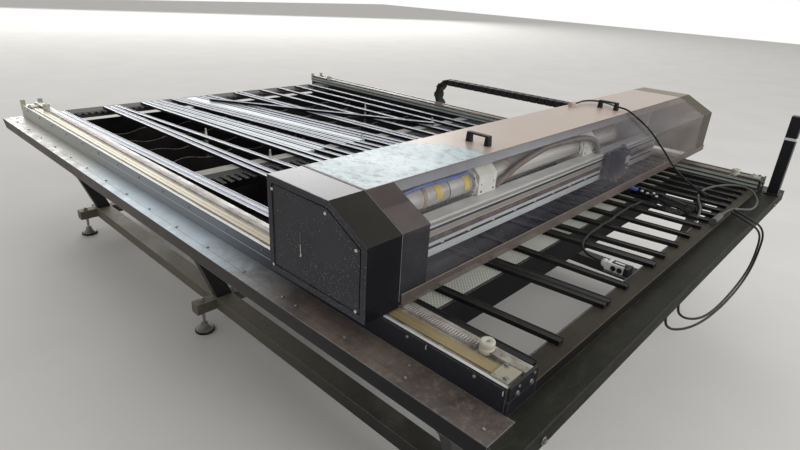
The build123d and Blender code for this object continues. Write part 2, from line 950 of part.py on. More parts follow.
# Head
def head_carriage():
    """Carriage plate with a runner that straddles the head's guide."""
    front = beam_front - head_guide_depth - carriage_gap
    half = carriage_width / 2
    plate = block(
        head_x - half, head_x + half, front - carriage_plate, front, carriage_bottom, carriage_top,
    )
    guide_half = head_guide_height / 2 + carriage_gap
    for z0, z1 in (
        (head_guide_z - guide_half - carriage_plate, head_guide_z - guide_half),
        (head_guide_z + guide_half, head_guide_z + guide_half + carriage_plate),
    ):
        plate = plate + block(head_x - half, head_x + half, front, beam_front - carriage_gap, z0, z1)
    return plate


def focus_slide():
    """Head body on the carriage's front, rounded in front."""
    back = beam_front - head_guide_depth - 2 * carriage_gap - carriage_plate
    half = head_width / 2
    body = block(head_x - half, head_x + half, back - head_depth, back, head_bottom, head_top)
    corners = [e for e in body.edges().filter_by(Axis.Z) if e.center().Y < back - 1]
    return fillet(corners, half / 2)


def nozzle():
    """Lens tube with a collar and a bored cone."""
    back = beam_front - head_guide_depth - 2 * carriage_gap - carriage_plate
    y = back - head_depth / 2
    outline = Polyline(
        (nozzle_bore / 2, 0, nozzle_tip), (nozzle_tip_dia / 2, 0, nozzle_tip),
        (nozzle_dia / 2, 0, head_bottom - nozzle_collar), (nozzle_dia / 2, 0, head_bottom),
        (nozzle_dia / 2 - 8, 0, head_bottom), (nozzle_bore / 2, 0, nozzle_tip + 2), close=True,
    )
    return Pos(head_x, y, 0) * revolve(make_face(outline), Axis.Z)


# Cable chain, from the far ledge round its bend to the hood's back
def cable_chain():
    low = ledge_top + chain_height / 2
    high = chain_top - chain_height / 2
    radius = (high - low) / 2
    middle_x = chain_inner + chain_width / 2
    core = chain_width - 2 * chain_side_plate
    upper = block(
        middle_x - core / 2, middle_x + core / 2, hood_back, chain_bend_y,
        high - chain_core / 2, high + chain_core / 2,
    )
    lower = block(
        middle_x - core / 2, middle_x + core / 2, chain_start, chain_bend_y,
        low - chain_core / 2, low + chain_core / 2,
    )
    bend = 2 * radius
    ring = rod_x(
        middle_x - core / 2, middle_x + core / 2, chain_bend_y, low + radius, bend + chain_core,
    )
    hole = rod_x(middle_x - core, middle_x + core, chain_bend_y, low + radius, bend - chain_core)
    back_half = block(
        middle_x - core, middle_x + core, chain_bend_y, chain_bend_y + 2 * radius,
        low - chain_height, high + chain_height,
    )
    chain = upper + lower + ((ring - hole) & back_half)
    link = Box(chain_width, chain_link, chain_height)
    bend_link = Box(chain_width, chain_bend_link, chain_height)
    upper_count = int((chain_bend_y - hood_back - chain_link / 2) // chain_pitch)
    for k in range(upper_count):
        y = chain_bend_y - chain_link / 2 - k * chain_pitch
        chain = chain + Pos(middle_x, y, high) * link
    lower_count = int((chain_bend_y - chain_start) // chain_pitch)
    for k in range(lower_count):
        y = chain_bend_y - chain_link / 2 - k * chain_pitch
        chain = chain + Pos(middle_x, y, low) * link
    turns = int(math.pi * radius // chain_pitch)
    for k in range(turns):
        angle = 180 * (k + 0.5) / turns
        place = Pos(middle_x, chain_bend_y, low + radius) * Rot(-90 + angle, 0, 0) * Pos(0, radius, 0)
        chain = chain + place * Rot(90, 0, 0) * bend_link
    return chain


# Loose connector, cable fitting, glands and plug
def slat_connector():
    """Multi-pole connector body with a round tail, lying on its bracket."""
    y0 = beam_inner + front_comb_sheet + 1
    low = bed_top
    body = block(
        connector_x - connector_width / 2, connector_x + connector_width / 2,
        y0, y0 + connector_length, low, low + connector_height,
    )
    body = fillet(body.edges().filter_by(Axis.Y), 4)
    tail = Pos(connector_x, y0 + connector_length, low + connector_height / 2) * Rot(-90, 0, 0)
    return body + tail * Pos(0, 0, connector_tail / 2) * Cylinder(connector_height / 2 - 2, connector_tail)


def cable_fitting():
    """Round sleeve at the end of the coiled cable."""
    z = bed_top + fitting_dia / 2 + lying_gap
    return rod_x(fitting_x, fitting_x + fitting_length, fitting_y, z, fitting_dia)


def cable_glands():
    """Glands in the front beam's foot, behind the lip, where the hanging cables end."""
    made = []
    low = ledge_bed - beam_depth
    for route in (hanging_route_a, hanging_route_b):
        x, y, z = route[-1]
        made.append(rod_z(x, y, z, low, gland_dia))
    return Compound(children=made)


def cable_plug():
    """Plug on the hood cable's free end."""
    end = Vector(*hood_cable_route[-1])
    before = Vector(*hood_cable_route[-2])
    along = (end - before).normalized()
    return Plane(origin=end + along * (plug_length / 2), z_dir=along) * Cylinder(plug_dia / 2, plug_length)


# Cord routes, in millimetres about the table's centre line, with Y and Z as in the part
# The third number of the hood cable's places is the height over the hood's roof.
hood_cable_places = (
    (505, -1000, 12), (550, -1000, 12), (600, -992, 12), (648, -996, 12), (684, -1022, 12),
    (698, -1058, 12), (684, -1098, 12), (656, -1138, 12), (632, -1182, 12), (614, -1228, 12),
    (604, -1272, -6), (600, -1316, -29), (590, -1360, -53), (564, -1408, -81),
    (560, -1440, -112), (582, -1466, -148), (614, -1486, -190), (640, -1514, -230),
    (648, -1556, -264), (638, -1602, -284), (620, -1646, -298),
)
hood_cable_route = [(x, y, hood_roof + rise) for x, y, rise in hood_cable_places]
hanging_route_a = (
    (560, -1806, 806), (572, -1868, 778), (600, -1915, 752), (655, -1932, 700),
    (680, -1932, 620), (650, -1932, 555), (560, -1932, 528), (440, -1932, 520),
    (310, -1932, 522), (190, -1932, 532), (80, -1932, 548), (-20, -1926, 562),
    (-84, -1908, 570), (-132, -1880, 584), (-160, -1858, 618), (-160, -1858, 678),
)
hanging_route_b = (
    (600, -1806, 806), (622, -1872, 778), (662, -1918, 746), (710, -1936, 690),
    (724, -1936, 610), (690, -1936, 540), (600, -1936, 508), (480, -1936, 498),
    (350, -1936, 502), (220, -1936, 514), (90, -1934, 532), (-30, -1930, 550),
    (-130, -1918, 564), (-200, -1900, 574), (-254, -1874, 586), (-282, -1856, 620),
    (-282, -1856, 678),
)
coil_route = (
    (480, -1784, 799.2), (540, -1784, 799.2), (620, -1797, 801), (700, -1828, 786),
    (790, -1846, 768), (880, -1846, 766), (956, -1832, 778), (1000, -1784, 806),
    (990, -1716, 812), (910, -1662, 812), (810, -1632, 812), (700, -1626, 812),
    (600, -1650, 812), (520, -1684, 812), (440, -1712, 812), (340, -1730, 812),
)
connector_route = (
    (-368, -1626, 800), (-368, -1588, 800), (-340, -1540, 804), (-285, -1510, 808),
    (-200, -1495, 811), (-100, -1490, 812), (20, -1490, 812), (130, -1480, 812),
    (240, -1480, 812), (340, -1490, 812),
)
bundle_route = (
    (505, -1340, 811.3), (500, -1420, 811.3), (486, -1500, 811.3), (466, -1580, 811.3),
    (440, -1650, 811.3),
)


save("base_frame", base_frame())
save("foot_studs", foot_studs())
save("foot_pads", foot_pads())
save("front_beam", front_beam())
save("ledge_front", ledge_front())
save("front_comb", front_comb())
save("middle_comb", middle_comb())
save("back_comb", back_comb())
save("support_strip", support_strip())
save("front_slats", front_slats())
save("back_slats", back_slats())
save("waste_tray", waste_tray())
save("front_tray", front_tray())
save("tray_dividers", tray_dividers())
for word, side in (("near", NEAR), ("far", FAR)):
    save("legs_" + word, legs(side))
    save("side_frame_" + word, side_frame(side))
    save("ledge_" + word, ledge_side(side))
    save("guide_rail_" + word, guide_rail(side))
    save("end_carriage_" + word, end_carriage(side))
save("linear_rails", linear_rails())
save("drive_belts", drive_belts())
save("belt_clamps", belt_clamps())
save("rail_stops", rail_stops())
save("stop_bars", stop_bars())
save("front_end_plates", front_end_plates())
save("back_end_brackets", back_end_brackets())
save("post", post())
save("hood_cap_near", hood_cap_near())
save("cap_panel", cap_panel())
save("hood_cap_far", hood_cap_far())
save("inner_housing", inner_housing())
save("hood_top", hood_top())
save("hood_back", hood_back_panel())
save("top_edge_strip", top_edge_strip())
save("hood_window", hood_window())
save("bottom_strip", bottom_strip())
save("hood_handles", hood_handles())
save("gantry_beam", gantry_beam())
save("head_guide", head_guide())
save("laser_tube", laser_tube())
save("tube_supports", tube_supports())
save("head_carriage", head_carriage())
save("focus_slide", focus_slide())
save("nozzle", nozzle())
save("cable_chain", cable_chain())
save("slat_connector", slat_connector())
save("cable_fitting", cable_fitting())
save("cable_glands", cable_glands())
save("cable_plug", cable_plug())
save("hood_cable", cord("hood_cable", hood_cable_route, cable_dia))
save("hanging_cable_a", cord("hanging_cable_a", hanging_route_a, cable_dia))
save("hanging_cable_b", cord("hanging_cable_b", hanging_route_b, cable_dia))
save("coiled_cable", cord("coiled_cable", coil_route, coil_dia))
save("connector_cable", cord("connector_cable", connector_route, cable_dia))
save("cable_bundle", cord("cable_bundle", bundle_route, bundle_dia))
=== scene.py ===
import json
import math
import random

import bmesh
import bpy
from mathutils import Matrix, Vector


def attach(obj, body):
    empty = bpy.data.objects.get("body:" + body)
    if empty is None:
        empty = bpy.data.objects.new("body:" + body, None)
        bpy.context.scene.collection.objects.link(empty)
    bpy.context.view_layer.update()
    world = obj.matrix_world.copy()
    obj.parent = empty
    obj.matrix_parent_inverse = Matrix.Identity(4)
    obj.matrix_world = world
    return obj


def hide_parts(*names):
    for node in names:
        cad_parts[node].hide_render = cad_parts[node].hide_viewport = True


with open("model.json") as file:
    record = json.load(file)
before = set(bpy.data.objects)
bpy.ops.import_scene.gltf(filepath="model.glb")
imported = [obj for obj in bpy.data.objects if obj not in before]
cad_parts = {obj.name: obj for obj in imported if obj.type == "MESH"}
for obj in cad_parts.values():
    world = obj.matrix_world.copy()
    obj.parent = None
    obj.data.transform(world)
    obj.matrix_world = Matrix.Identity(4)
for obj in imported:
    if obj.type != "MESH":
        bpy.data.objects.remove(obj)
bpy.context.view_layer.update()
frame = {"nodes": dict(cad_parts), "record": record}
nodes = frame["nodes"]
scene = bpy.context.scene
draw = random.Random(11)

# Places are written in millimetres about the table's centre line, as in the part's source.
TABLE_X = -92.5
MM = 0.001
UP, DOWN = (0, 0, 1), (0, 0, -1)
LEFT, RIGHT = (-1, 0, 0), (1, 0, 0)
FRONT, BACK = (0, -1, 0), (0, 1, 0)
NEAR, FAR = -1, 1


def at(x, y, z):
    """A place about the table's centre line, in millimetres, as a point of the frame."""
    return Vector(((x + TABLE_X) * MM, y * MM, z * MM))


# Camera
def make_camera():
    """The photograph's camera: place, turn and lens from the calibration."""
    yaw, pitch, roll = 0.8356, -0.4129, 0.0586
    forward = Vector((math.sin(yaw) * math.cos(pitch), math.cos(yaw) * math.cos(pitch), math.sin(pitch)))
    right = Vector((math.cos(yaw), -math.sin(yaw), 0))
    up = right.cross(forward)
    c, s = math.cos(roll), math.sin(roll)
    data = bpy.data.cameras.new("camera")
    data.lens = 24.98
    data.sensor_width = 36.0
    data.clip_start = 0.05
    data.clip_end = 60.0
    camera = bpy.data.objects.new("camera", data)
    turn = Matrix((c * right + s * up, -s * right + c * up, -forward)).transposed().to_4x4()
    camera.matrix_world = Matrix.Translation((-2.2559, -2.2777, 1.669)) @ turn
    scene.collection.objects.link(camera)
    scene.camera = camera


make_camera()
scene.view_settings.view_transform = "Standard"

# Materials
MAT = {}


def rgb(red, green, blue):
    """A colour written as it looks on a screen, 0 to 255, as the shader takes it."""
    out = []
    for value in (red, green, blue):
        v = value / 255
        out.append(v / 12.92 if v <= 0.04045 else ((v + 0.055) / 1.055) ** 2.4)
    return (*out, 1.0)


class Paint:
    """Builds one node material, step by step. Colours are given as they look on a screen, 0 to 255."""

    def __init__(self, name):
        MAT[name] = bpy.data.materials.new(name)
        MAT[name].use_nodes = True
        self.tree = MAT[name].node_tree
        self.tree.nodes.clear()
        self.place = self.add("ShaderNodeTexCoord").outputs["Object"]
        self.normal = None

    def add(self, kind, sockets=(), **settings):
        """A node with its settings, and its sockets linked to an output or set to a constant."""
        node = self.tree.nodes.new(kind)
        for key, value in settings.items():
            setattr(node, key, value)
        for key, value in dict(sockets).items():
            socket = node.inputs[key]
            if isinstance(value, bpy.types.NodeSocket):
                self.tree.links.new(value, socket)
            else:
                socket.default_value = rgb(*value) if socket.type == "RGBA" else value
        return node

    def noise(self, scale, detail=4.0, rough=0.6, stretch=(1, 1, 1), warp=0.0):
        place = self.add("ShaderNodeMapping", {"Vector": self.place, "Scale": stretch}).outputs[0]
        return self.add("ShaderNodeTexNoise", {
            "Vector": place, "Scale": scale, "Detail": detail, "Roughness": rough, "Distortion": warp,
        }).outputs[0]

    def spots(self, scale):
        return self.add("ShaderNodeTexVoronoi", {"Vector": self.place, "Scale": scale}).outputs["Distance"]

    def ramp(self, value, low, high, start=0.0, end=1.0):
        return self.add("ShaderNodeMapRange", {
            "Value": value, "From Min": low, "From Max": high, "To Min": start, "To Max": end,
        }).outputs[0]

    def vary(self, noise, start, end):
        """From start to end, as a noise goes through its usual range."""
        return self.ramp(noise, 0.3, 0.7, start, end)

    def math(self, kind, a, b=0.0):
        return self.add("ShaderNodeMath", {0: a, 1: b}, operation=kind).outputs[0]

    def times(self, value, *others):
        for other in others:
            value = self.math("MULTIPLY", value, other)
        return value

    def plus(self, a, b):
        return self.math("ADD", a, b)

    def line(self, value, place, width):
        """1 on a thin line where the value is near a place, and 0 elsewhere."""
        return self.ramp(self.math("ABSOLUTE", self.math("SUBTRACT", value, place)), width, width * 0.5)

    def colours(self, value, *stops):
        """Colours at their places along a value."""
        node = self.add("ShaderNodeValToRGB", {0: value})
        band = node.color_ramp
        while len(band.elements) < len(stops):
            band.elements.new(0.5)
        for element, (place, colour) in zip(band.elements, stops):
            element.position = place
            element.color = rgb(*colour)
        return node.outputs[0]

    def tones(self, noise, dark, light, low=0.3, high=0.7):
        return self.colours(noise, (low, dark), (high, light))

    def mix(self, factor, a, b):
        node = self.add("ShaderNodeMix", {"Factor": factor, "A": a, "B": b}, data_type="RGBA")
        return node.outputs["Result"]

    def axis(self, letter):
        return self.add("ShaderNodeSeparateXYZ", {0: self.place}).outputs[letter]

    def facing(self, letter):
        """The surface's direction along one axis, from -1 to 1."""
        normal = self.add("ShaderNodeNewGeometry").outputs["Normal"]
        return self.add("ShaderNodeSeparateXYZ", {0: normal}).outputs[letter]

    def edges(self, width):
        """1 where the surface is within a width of an edge, and 0 elsewhere."""
        rounded = self.add("ShaderNodeBevel", {"Radius": width}, samples=6).outputs[0]
        normal = self.add("ShaderNodeNewGeometry").outputs["Normal"]
        dot = self.add("ShaderNodeVectorMath", {0: rounded, 1: normal}, operation="DOT_PRODUCT")
        flat, sharp = 0.995, 0.9
        return self.ramp(dot.outputs["Value"], flat, sharp)

    def edge_wear_and_highlight(self, base, colour, width, share, fine, low=0.35, high=0.6, least=0.35):
        """A colour along the edges of the base, broken up by a fine noise: rubbed-off paint, and on many
        materials a painted highlight.
        """
        broken = self.ramp(fine, low, high, least, 1.0)
        return self.mix(self.times(self.edges(width), broken, share), base, colour)

    def bump(self, height, distance, strength):
        """Relief from a height, on top of any relief before it."""
        node = self.add("ShaderNodeBump", {"Height": height, "Distance": distance, "Strength": strength})
        if self.normal is not None:
            self.tree.links.new(self.normal, node.inputs["Normal"])
        self.normal = node.outputs[0]

    def finish(self, colour, rough, metal=0.0, shine=0.5, alpha=1.0, coat=0.0):
        sockets = {
            "Base Color": colour, "Roughness": rough, "Metallic": metal, "Specular IOR Level": shine,
            "Alpha": alpha, "Coat Weight": coat,
        }
        if self.normal is not None:
            sockets["Normal"] = self.normal
        shader = self.add("ShaderNodeBsdfPrincipled", sockets)
        self.add("ShaderNodeOutputMaterial", {0: shader.outputs[0]})


def painted(name, dark, light, dust, dusty, rough, scale=6.0, edge_wear_and_highlight=None, grain=0.25, stretch=(1, 1, 1),
            specks=0.0, shine=0.5, edge_band=0.0025):
    """Sprayed steel: mottled colour, dust on what faces up, pale edges that are partly rubbed paint and
    partly painted highlight, fine orange peel.
    """
    p = Paint(name)
    big = p.noise(scale, 5.0, 0.65, stretch)
    fine = p.noise(scale * 14, 4.0, 0.7)
    film = p.times(p.ramp(p.facing("Z"), 0.2, 0.9), p.ramp(big, 0.35, 0.7, 0.45, 1.0),
                   p.ramp(fine, 0.3, 0.65, 0.6, 1.0), dusty)
    base = p.mix(film, p.tones(big, dark, light), dust)
    if specks:
        speck = p.ramp(p.plus(p.spots(scale * 13), p.times(fine, 0.16)), 0.2, 0.1)
        base = p.mix(p.times(speck, p.ramp(p.noise(scale * 2.3), 0.5, 0.64), specks), base, dust)
    # Pale edge band: partly rubbed paint, partly painted highlight.
    if edge_wear_and_highlight is not None:
        base = p.edge_wear_and_highlight(base, edge_wear_and_highlight, edge_band, 0.75, fine)
    p.bump(fine, 0.0006, grain)
    p.finish(base, p.ramp(p.plus(p.times(film, 0.8), p.times(big, 0.5)), 0.1, 0.8, *rough), shine=shine)


def brushed(name, dark, light, dirt, dirty, rough=(0.28, 0.5), axis="Z", metal=0.85):
    """Drawn or brushed metal, with dirt in broad patches."""
    p = Paint(name)
    lines = p.noise(220.0, 3.0, 0.6, {"X": (0.05, 1, 1), "Y": (1, 0.05, 1), "Z": (1, 1, 0.05)}[axis])
    broad = p.noise(5.0, 5.0, 0.7)
    film = p.times(p.ramp(broad, 0.42, 0.68), dirty)
    base = p.mix(film, p.tones(lines, dark, light, 0.35, 0.65), dirt)
    p.bump(lines, 0.0003, 0.2)
    p.finish(base, p.ramp(p.plus(broad, lines), 0.6, 1.4, *rough), p.ramp(film, 0.0, 0.5, metal, metal * 0.3))


def moulded(name, dark, light, rough, scale=18.0, shine=0.5):
    """Moulded plastic or rubber with a fine grain and a little soiling."""
    p = Paint(name)
    big = p.noise(scale, 4.0, 0.6)
    p.bump(p.noise(scale * 25, 3.0, 0.6), 0.0004, 0.3)
    p.finish(p.tones(big, dark, light), p.vary(big, *rough), shine=shine)


# Each row: dark and light tone, dust and its share where there is any, roughness, then what differs
ALONG = (1, 0.12, 1)
painted("stand_paint", (24, 24, 26), (42, 41, 41), (138, 132, 120), 0.6, (0.38, 0.7), 4.0, (98, 94, 90),
        specks=0.6, shine=0.35)
painted("black_steel", (17, 18, 22), (28, 29, 34), (70, 69, 66), 0.3, (0.4, 0.6), 5.0, (84, 84, 84),
        specks=0.5, shine=0.2)
painted("hood_black", (10, 11, 15), (20, 21, 27), (132, 134, 140), 0.16, (0.35, 0.55), 5.0, (92, 93, 98),
        grain=0.08, specks=0.5, shine=0.13)
painted("tray_black", (13, 13, 15), (26, 25, 26), (50, 48, 46), 0.4, (0.6, 0.85), 5.0, specks=0.6, shine=0.08)
painted("divider", (26, 25, 25), (42, 39, 37), (150, 144, 136), 0.9, (0.6, 0.85), 5.0, (200, 196, 186),
        shine=0.08, edge_band=0.006)
painted("slat_black", (13, 13, 14), (25, 24, 23), (58, 55, 50), 0.3, (0.3, 0.5), 9.0, (84, 82, 78),
        grain=0.12, shine=0.18)
painted("clamp_cream", (150, 146, 126), (172, 168, 150), (120, 108, 88), 0.4, (0.4, 0.6), 14.0)
painted("slope_olive", (20, 20, 17), (32, 31, 25), (76, 70, 58), 0.12, (0.4, 0.55), 4.0, (104, 100, 92),
        grain=0.12, shine=0.14)
painted("far_slope", (68, 62, 46), (88, 81, 61), (120, 110, 92), 0.2, (0.45, 0.65), 4.0, (120, 114, 100),
        grain=0.1, shine=0.1)
painted("far_roof", (104, 95, 74), (128, 117, 94), (150, 138, 116), 0.3, (0.4, 0.55), 4.0, (120, 114, 100),
        grain=0.1, shine=0.3)
painted("far_front", (52, 50, 42), (70, 67, 55), (110, 104, 90), 0.2, (0.4, 0.6), 5.0, (112, 108, 98),
        grain=0.08, shine=0.14)
painted("far_wall", (58, 47, 41), (78, 64, 56), (110, 98, 88), 0.2, (0.5, 0.7), 4.0, grain=0.1, shine=0.1)
painted("housing_black", (14, 15, 19), (30, 30, 35), (96, 92, 84), 0.3, (0.4, 0.6), 5.0, (84, 84, 86),
        grain=0.015, specks=0.15, shine=0.14)
painted("slope_rose", (58, 49, 45), (78, 67, 62), (116, 104, 98), 0.2, (0.35, 0.5), 4.0, (120, 110, 104),
        grain=0.08, shine=0.22)
painted("roof_black", (52, 50, 50), (74, 71, 70), (112, 108, 106), 0.4, (0.24, 0.36), 4.0, (104, 104, 108),
        grain=0.1)
painted("inside_white", (222, 218, 211), (238, 235, 230), (200, 192, 180), 0.2, (0.4, 0.6), 4.0)
# Painted reflection on the flat bars between the back slats.
painted("flat_pale", (166, 182, 184), (196, 210, 211), (176, 178, 176), 0.4, (0.35, 0.5), stretch=ALONG)
painted("rail_edge", (190, 192, 190), (214, 216, 214), (150, 146, 136), 0.3, (0.35, 0.5), 12.0)
# Painted reflection on the floors of the back slats' grooves.
painted("groove_slate", (122, 130, 144), (162, 170, 184), (160, 162, 170), 0.4, (0.3, 0.5), stretch=ALONG)
painted("groove_pale", (178, 190, 194), (208, 218, 222), (170, 172, 176), 0.4, (0.3, 0.5), stretch=ALONG)
painted("groove_dark", (34, 32, 36), (52, 49, 52), (90, 84, 80), 0.3, (0.5, 0.7), 9.0)
painted("beam_brown", (134, 126, 118), (156, 148, 138), (150, 142, 130), 0.2, (0.45, 0.6), 7.0,
        stretch=(0.2, 1, 1))
painted("seam_brown", (62, 54, 50), (80, 70, 64), (110, 100, 92), 0.2, (0.45, 0.6), 12.0)
painted("head_slate", (44, 46, 58), (62, 64, 76), (96, 96, 104), 0.3, (0.35, 0.5), 12.0, (96, 98, 106),
        grain=0.15)
brushed("zinc", (140, 138, 132), (176, 174, 168), (96, 86, 74), 0.5)
brushed("brass", (176, 134, 62), (204, 164, 92), (92, 70, 40), 0.4)
brushed("screw", (104, 104, 102), (140, 140, 136), (70, 64, 58), 0.5)
brushed("beam_silver", (206, 206, 203), (230, 230, 227), (160, 152, 142), 0.4, (0.35, 0.55), "X", 0.15)
brushed("beam_light", (196, 202, 204), (218, 223, 224), (160, 156, 148), 0.3, (0.35, 0.5), "X", 0.1)
# Painted reflection on the back slats' tops.
brushed("slat_grey", (204, 212, 224), (232, 238, 246), (140, 136, 140), 0.5, (0.3, 0.45), "Y", 0.1)
moulded("pad_grey", (88, 90, 84), (124, 124, 116), (0.35, 0.55))
moulded("pad_rubber", (22, 22, 22), (44, 42, 40), (0.6, 0.85), shine=0.2)
moulded("stop_rubber", (176, 172, 156), (196, 192, 178), (0.45, 0.6))
moulded("support_white", (222, 222, 214), (236, 236, 230), (0.35, 0.5))
moulded("chain_black", (18, 18, 19), (34, 33, 33), (0.45, 0.65), shine=0.25)
moulded("cable_black", (12, 12, 13), (24, 24, 25), (0.35, 0.5), 30.0, 0.22)
moulded("cable_grey", (70, 71, 69), (92, 93, 90), (0.45, 0.6), 30.0, 0.25)
moulded("plug_white", (190, 192, 190), (212, 213, 210), (0.35, 0.5))
moulded("tube_ring", (150, 132, 112), (170, 152, 130), (0.3, 0.45))
moulded("tag_yellow", (196, 170, 74), (214, 190, 96), (0.35, 0.5))
moulded("lead_red", (150, 50, 42), (172, 66, 56), (0.35, 0.5))
moulded("lead_orange", (176, 112, 62), (196, 132, 80), (0.35, 0.5))
moulded("lead_blue", (52, 82, 140), (70, 100, 160), (0.35, 0.5))
moulded("hose_blue", (84, 98, 160), (108, 122, 182), (0.25, 0.4))
moulded("hose_brown", (104, 92, 82), (126, 112, 100), (0.45, 0.6))
moulded("belt_tooth", (150, 138, 98), (170, 158, 118), (0.6, 0.8), 40.0)
moulded("strip_tan", (116, 104, 92), (136, 122, 108), (0.4, 0.55))
moulded("milky", (206, 206, 196), (230, 230, 222), (0.3, 0.45), 14.0)


def panel_material():
    """The near cap's side: blue-grey black, with fine pale dust that thickens low down in front."""
    p = Paint("panel_black")
    big = p.noise(3.5, 5.0, 0.65)
    fine = p.noise(70.0, 4.0, 0.7)
    where = p.plus(p.ramp(p.axis("Y"), -1.2, -1.4, 0.0, 0.14), p.ramp(p.axis("Z"), 1.05, 0.9, 0.0, 0.1))
    chance = p.ramp(p.plus(p.noise(9.0), where), 0.46, 0.62)
    speck = p.ramp(p.plus(p.spots(150.0), p.times(fine, 0.2)), 0.3, 0.16)
    base = p.mix(p.times(speck, chance, 0.8), p.tones(big, (27, 28, 33), (50, 51, 57)), (176, 180, 188))
    base = p.edge_wear_and_highlight(base, (112, 112, 116), 0.0025, 0.75, fine)
    p.bump(fine, 0.0006, 0.12)
    p.finish(base, p.vary(big, 0.38, 0.56), shine=0.28)


def comb_material():
    """Cross strips: dark toothed sheet with bright cut edges, and a pale flat band behind the teeth."""
    p = Paint("comb_sheet")
    big = p.noise(8.0, 5.0, 0.65)
    fine = p.noise(120.0, 4.0, 0.7)
    along = p.axis("Y")
    band = p.times(p.ramp(along, 0.066, 0.072), p.ramp(along, 0.5, 0.4))
    band = p.math("MAXIMUM", band, p.ramp(along, 1.646, 1.652))
    pale = p.mix(p.ramp(along, 1.2, 1.5), p.tones(big, (132, 129, 121), (166, 163, 155)),
                 p.tones(big, (84, 80, 78), (108, 104, 99)))
    base = p.mix(band, p.tones(big, (30, 30, 33), (50, 48, 49)), pale)
    base = p.edge_wear_and_highlight(base, (184, 182, 178), 0.003, 0.85, fine, 0.3, 0.55, 0.4)
    p.bump(fine, 0.0005, 0.2)
    p.finish(base, p.vary(big, 0.7, 0.85), shine=0.12)


def perforated_material():
    """Pale sheet punched with staggered rows of small holes."""
    p = Paint("perforated")
    turned = p.add("ShaderNodeMapping", {"Vector": p.place, "Rotation": (0, 0, math.radians(45))})
    sockets = {"Vector": turned.outputs[0], "Scale": 105.0, "Randomness": 0.0}
    away = p.add("ShaderNodeTexVoronoi", sockets, voronoi_dimensions="2D").outputs["Distance"]
    sheet = p.tones(p.noise(8.0, 5.0, 0.65), (146, 148, 142), (170, 172, 165))
    base = p.mix(p.times(p.ramp(away, 0.3, 0.5), 0.25), sheet, (110, 112, 106))
    p.finish(p.mix(p.times(p.ramp(away, 0.34, 0.22), 0.8), base, (206, 206, 186)), 0.5)


def front_slat_material():
    """Black slats, with painted pale light on their tops where they run back under the hood."""
    p = Paint("front_slat")
    big = p.noise(9.0, 5.0, 0.65, (1, 0.3, 1))
    # Painted light: the tops under the hood are made pale blue-grey, for light that reaches them from behind.
    under = p.times(p.ramp(p.axis("Y"), -1.33, -1.22), p.ramp(p.facing("Z"), 0.3, 0.9))
    base = p.mix(p.times(under, p.ramp(big, 0.35, 0.65, 0.3, 0.8)),
                 p.tones(big, (13, 13, 14), (27, 26, 24)), (116, 118, 134))
    base = p.edge_wear_and_highlight(base, (84, 82, 78), 0.0025, 0.6, p.noise(120.0, 4.0, 0.7), least=0.3)
    p.finish(base, p.vary(big, 0.3, 0.5), shine=0.18)


def rail_material(name, dark, light, dirt, least, most, metal):
    """Metal along the rails: clean at the back, dirtier towards the front."""
    p = Paint(name)
    lines = p.noise(220.0, 3.0, 0.6, (1, 0.05, 1))
    broad = p.noise(8.0, 5.0, 0.7)
    film = p.times(p.ramp(broad, 0.4, 0.64), p.ramp(p.axis("Y"), 0.2, -1.1, least, most))
    base = p.mix(film, p.tones(lines, dark, light, 0.35, 0.65), dirt)
    base = p.mix(p.ramp(p.axis("X"), 0.5, 0.9, 0.0, 0.82), base, (52, 49, 44))
    p.bump(lines, 0.0003, 0.15)
    p.finish(base, p.vary(broad, 0.35, 0.55), metal, 0.4)


def belt_material():
    """Belt: tan and oily in front, with a painted cream sheen towards the back, dull grey-brown on the far
    side.
    """
    p = Paint("belt")
    big = p.noise(7.0, 4.0, 0.6, (1, 0.3, 1))
    # Painted sheen: cream towards the back, for reflected window light on the tan belt.
    base = p.mix(p.ramp(p.axis("Y"), -1.1, 0.3), p.tones(big, (104, 88, 58), (156, 140, 102)),
                 p.tones(big, (196, 186, 148), (222, 213, 178)))
    base = p.mix(p.ramp(p.axis("X"), 0.5, 0.9, 0.0, 0.8), base, (58, 52, 43))
    p.finish(base, p.vary(big, 0.3, 0.45), shine=0.4)


def top_material():
    """Beige hood top, with a painted pale reflection at its near end that has a round far side."""
    p = Paint("top_beige")
    big = p.noise(3.0, 5.0, 0.65)
    fine = p.noise(46.0, 6.0, 0.7, (1, 0.6, 1), 0.4)
    across = p.math("MAXIMUM", p.plus(p.axis("X"), 1.0), 0.0)
    along = p.plus(p.axis("Y"), 1.25)
    reach = p.math("SQRT", p.plus(p.times(across, across), p.times(along, along)))
    # Painted reflection: pale blue-grey glare of the windows on the roof's near end, where it faces up.
    painted_glare = p.ramp(p.plus(reach, p.times(fine, 0.04)), 0.37, 0.34)
    pale = p.colours(fine, (0.36, (96, 110, 112)), (0.5, (156, 174, 176)), (0.68, (174, 192, 195)))
    base = p.mix(p.times(painted_glare, p.ramp(p.facing("Z"), 0.8, 0.95)),
                 p.tones(big, (166, 148, 133), (184, 166, 150)), pale)
    speck = p.times(p.ramp(p.spots(60.0), 0.16, 0.06), p.ramp(big, 0.5, 0.62), 0.5)
    base = p.mix(speck, base, (120, 106, 96))
    p.bump(p.noise(190.0, 3.0, 0.7), 0.0004, 0.12)
    p.finish(base, p.vary(big, 0.3, 0.42))


def edge_strip_material():
    """Edge strip behind the cover: grey, going brown-rose to the far side."""
    p = Paint("edge_grey")
    big = p.noise(7.0, 5.0, 0.65)
    far = p.ramp(p.plus(p.axis("X"), p.times(big, 0.3)), -0.3, 0.5)
    p.finish(p.mix(far, p.tones(big, (120, 120, 124), (142, 142, 146)), (92, 80, 76)), 0.45)


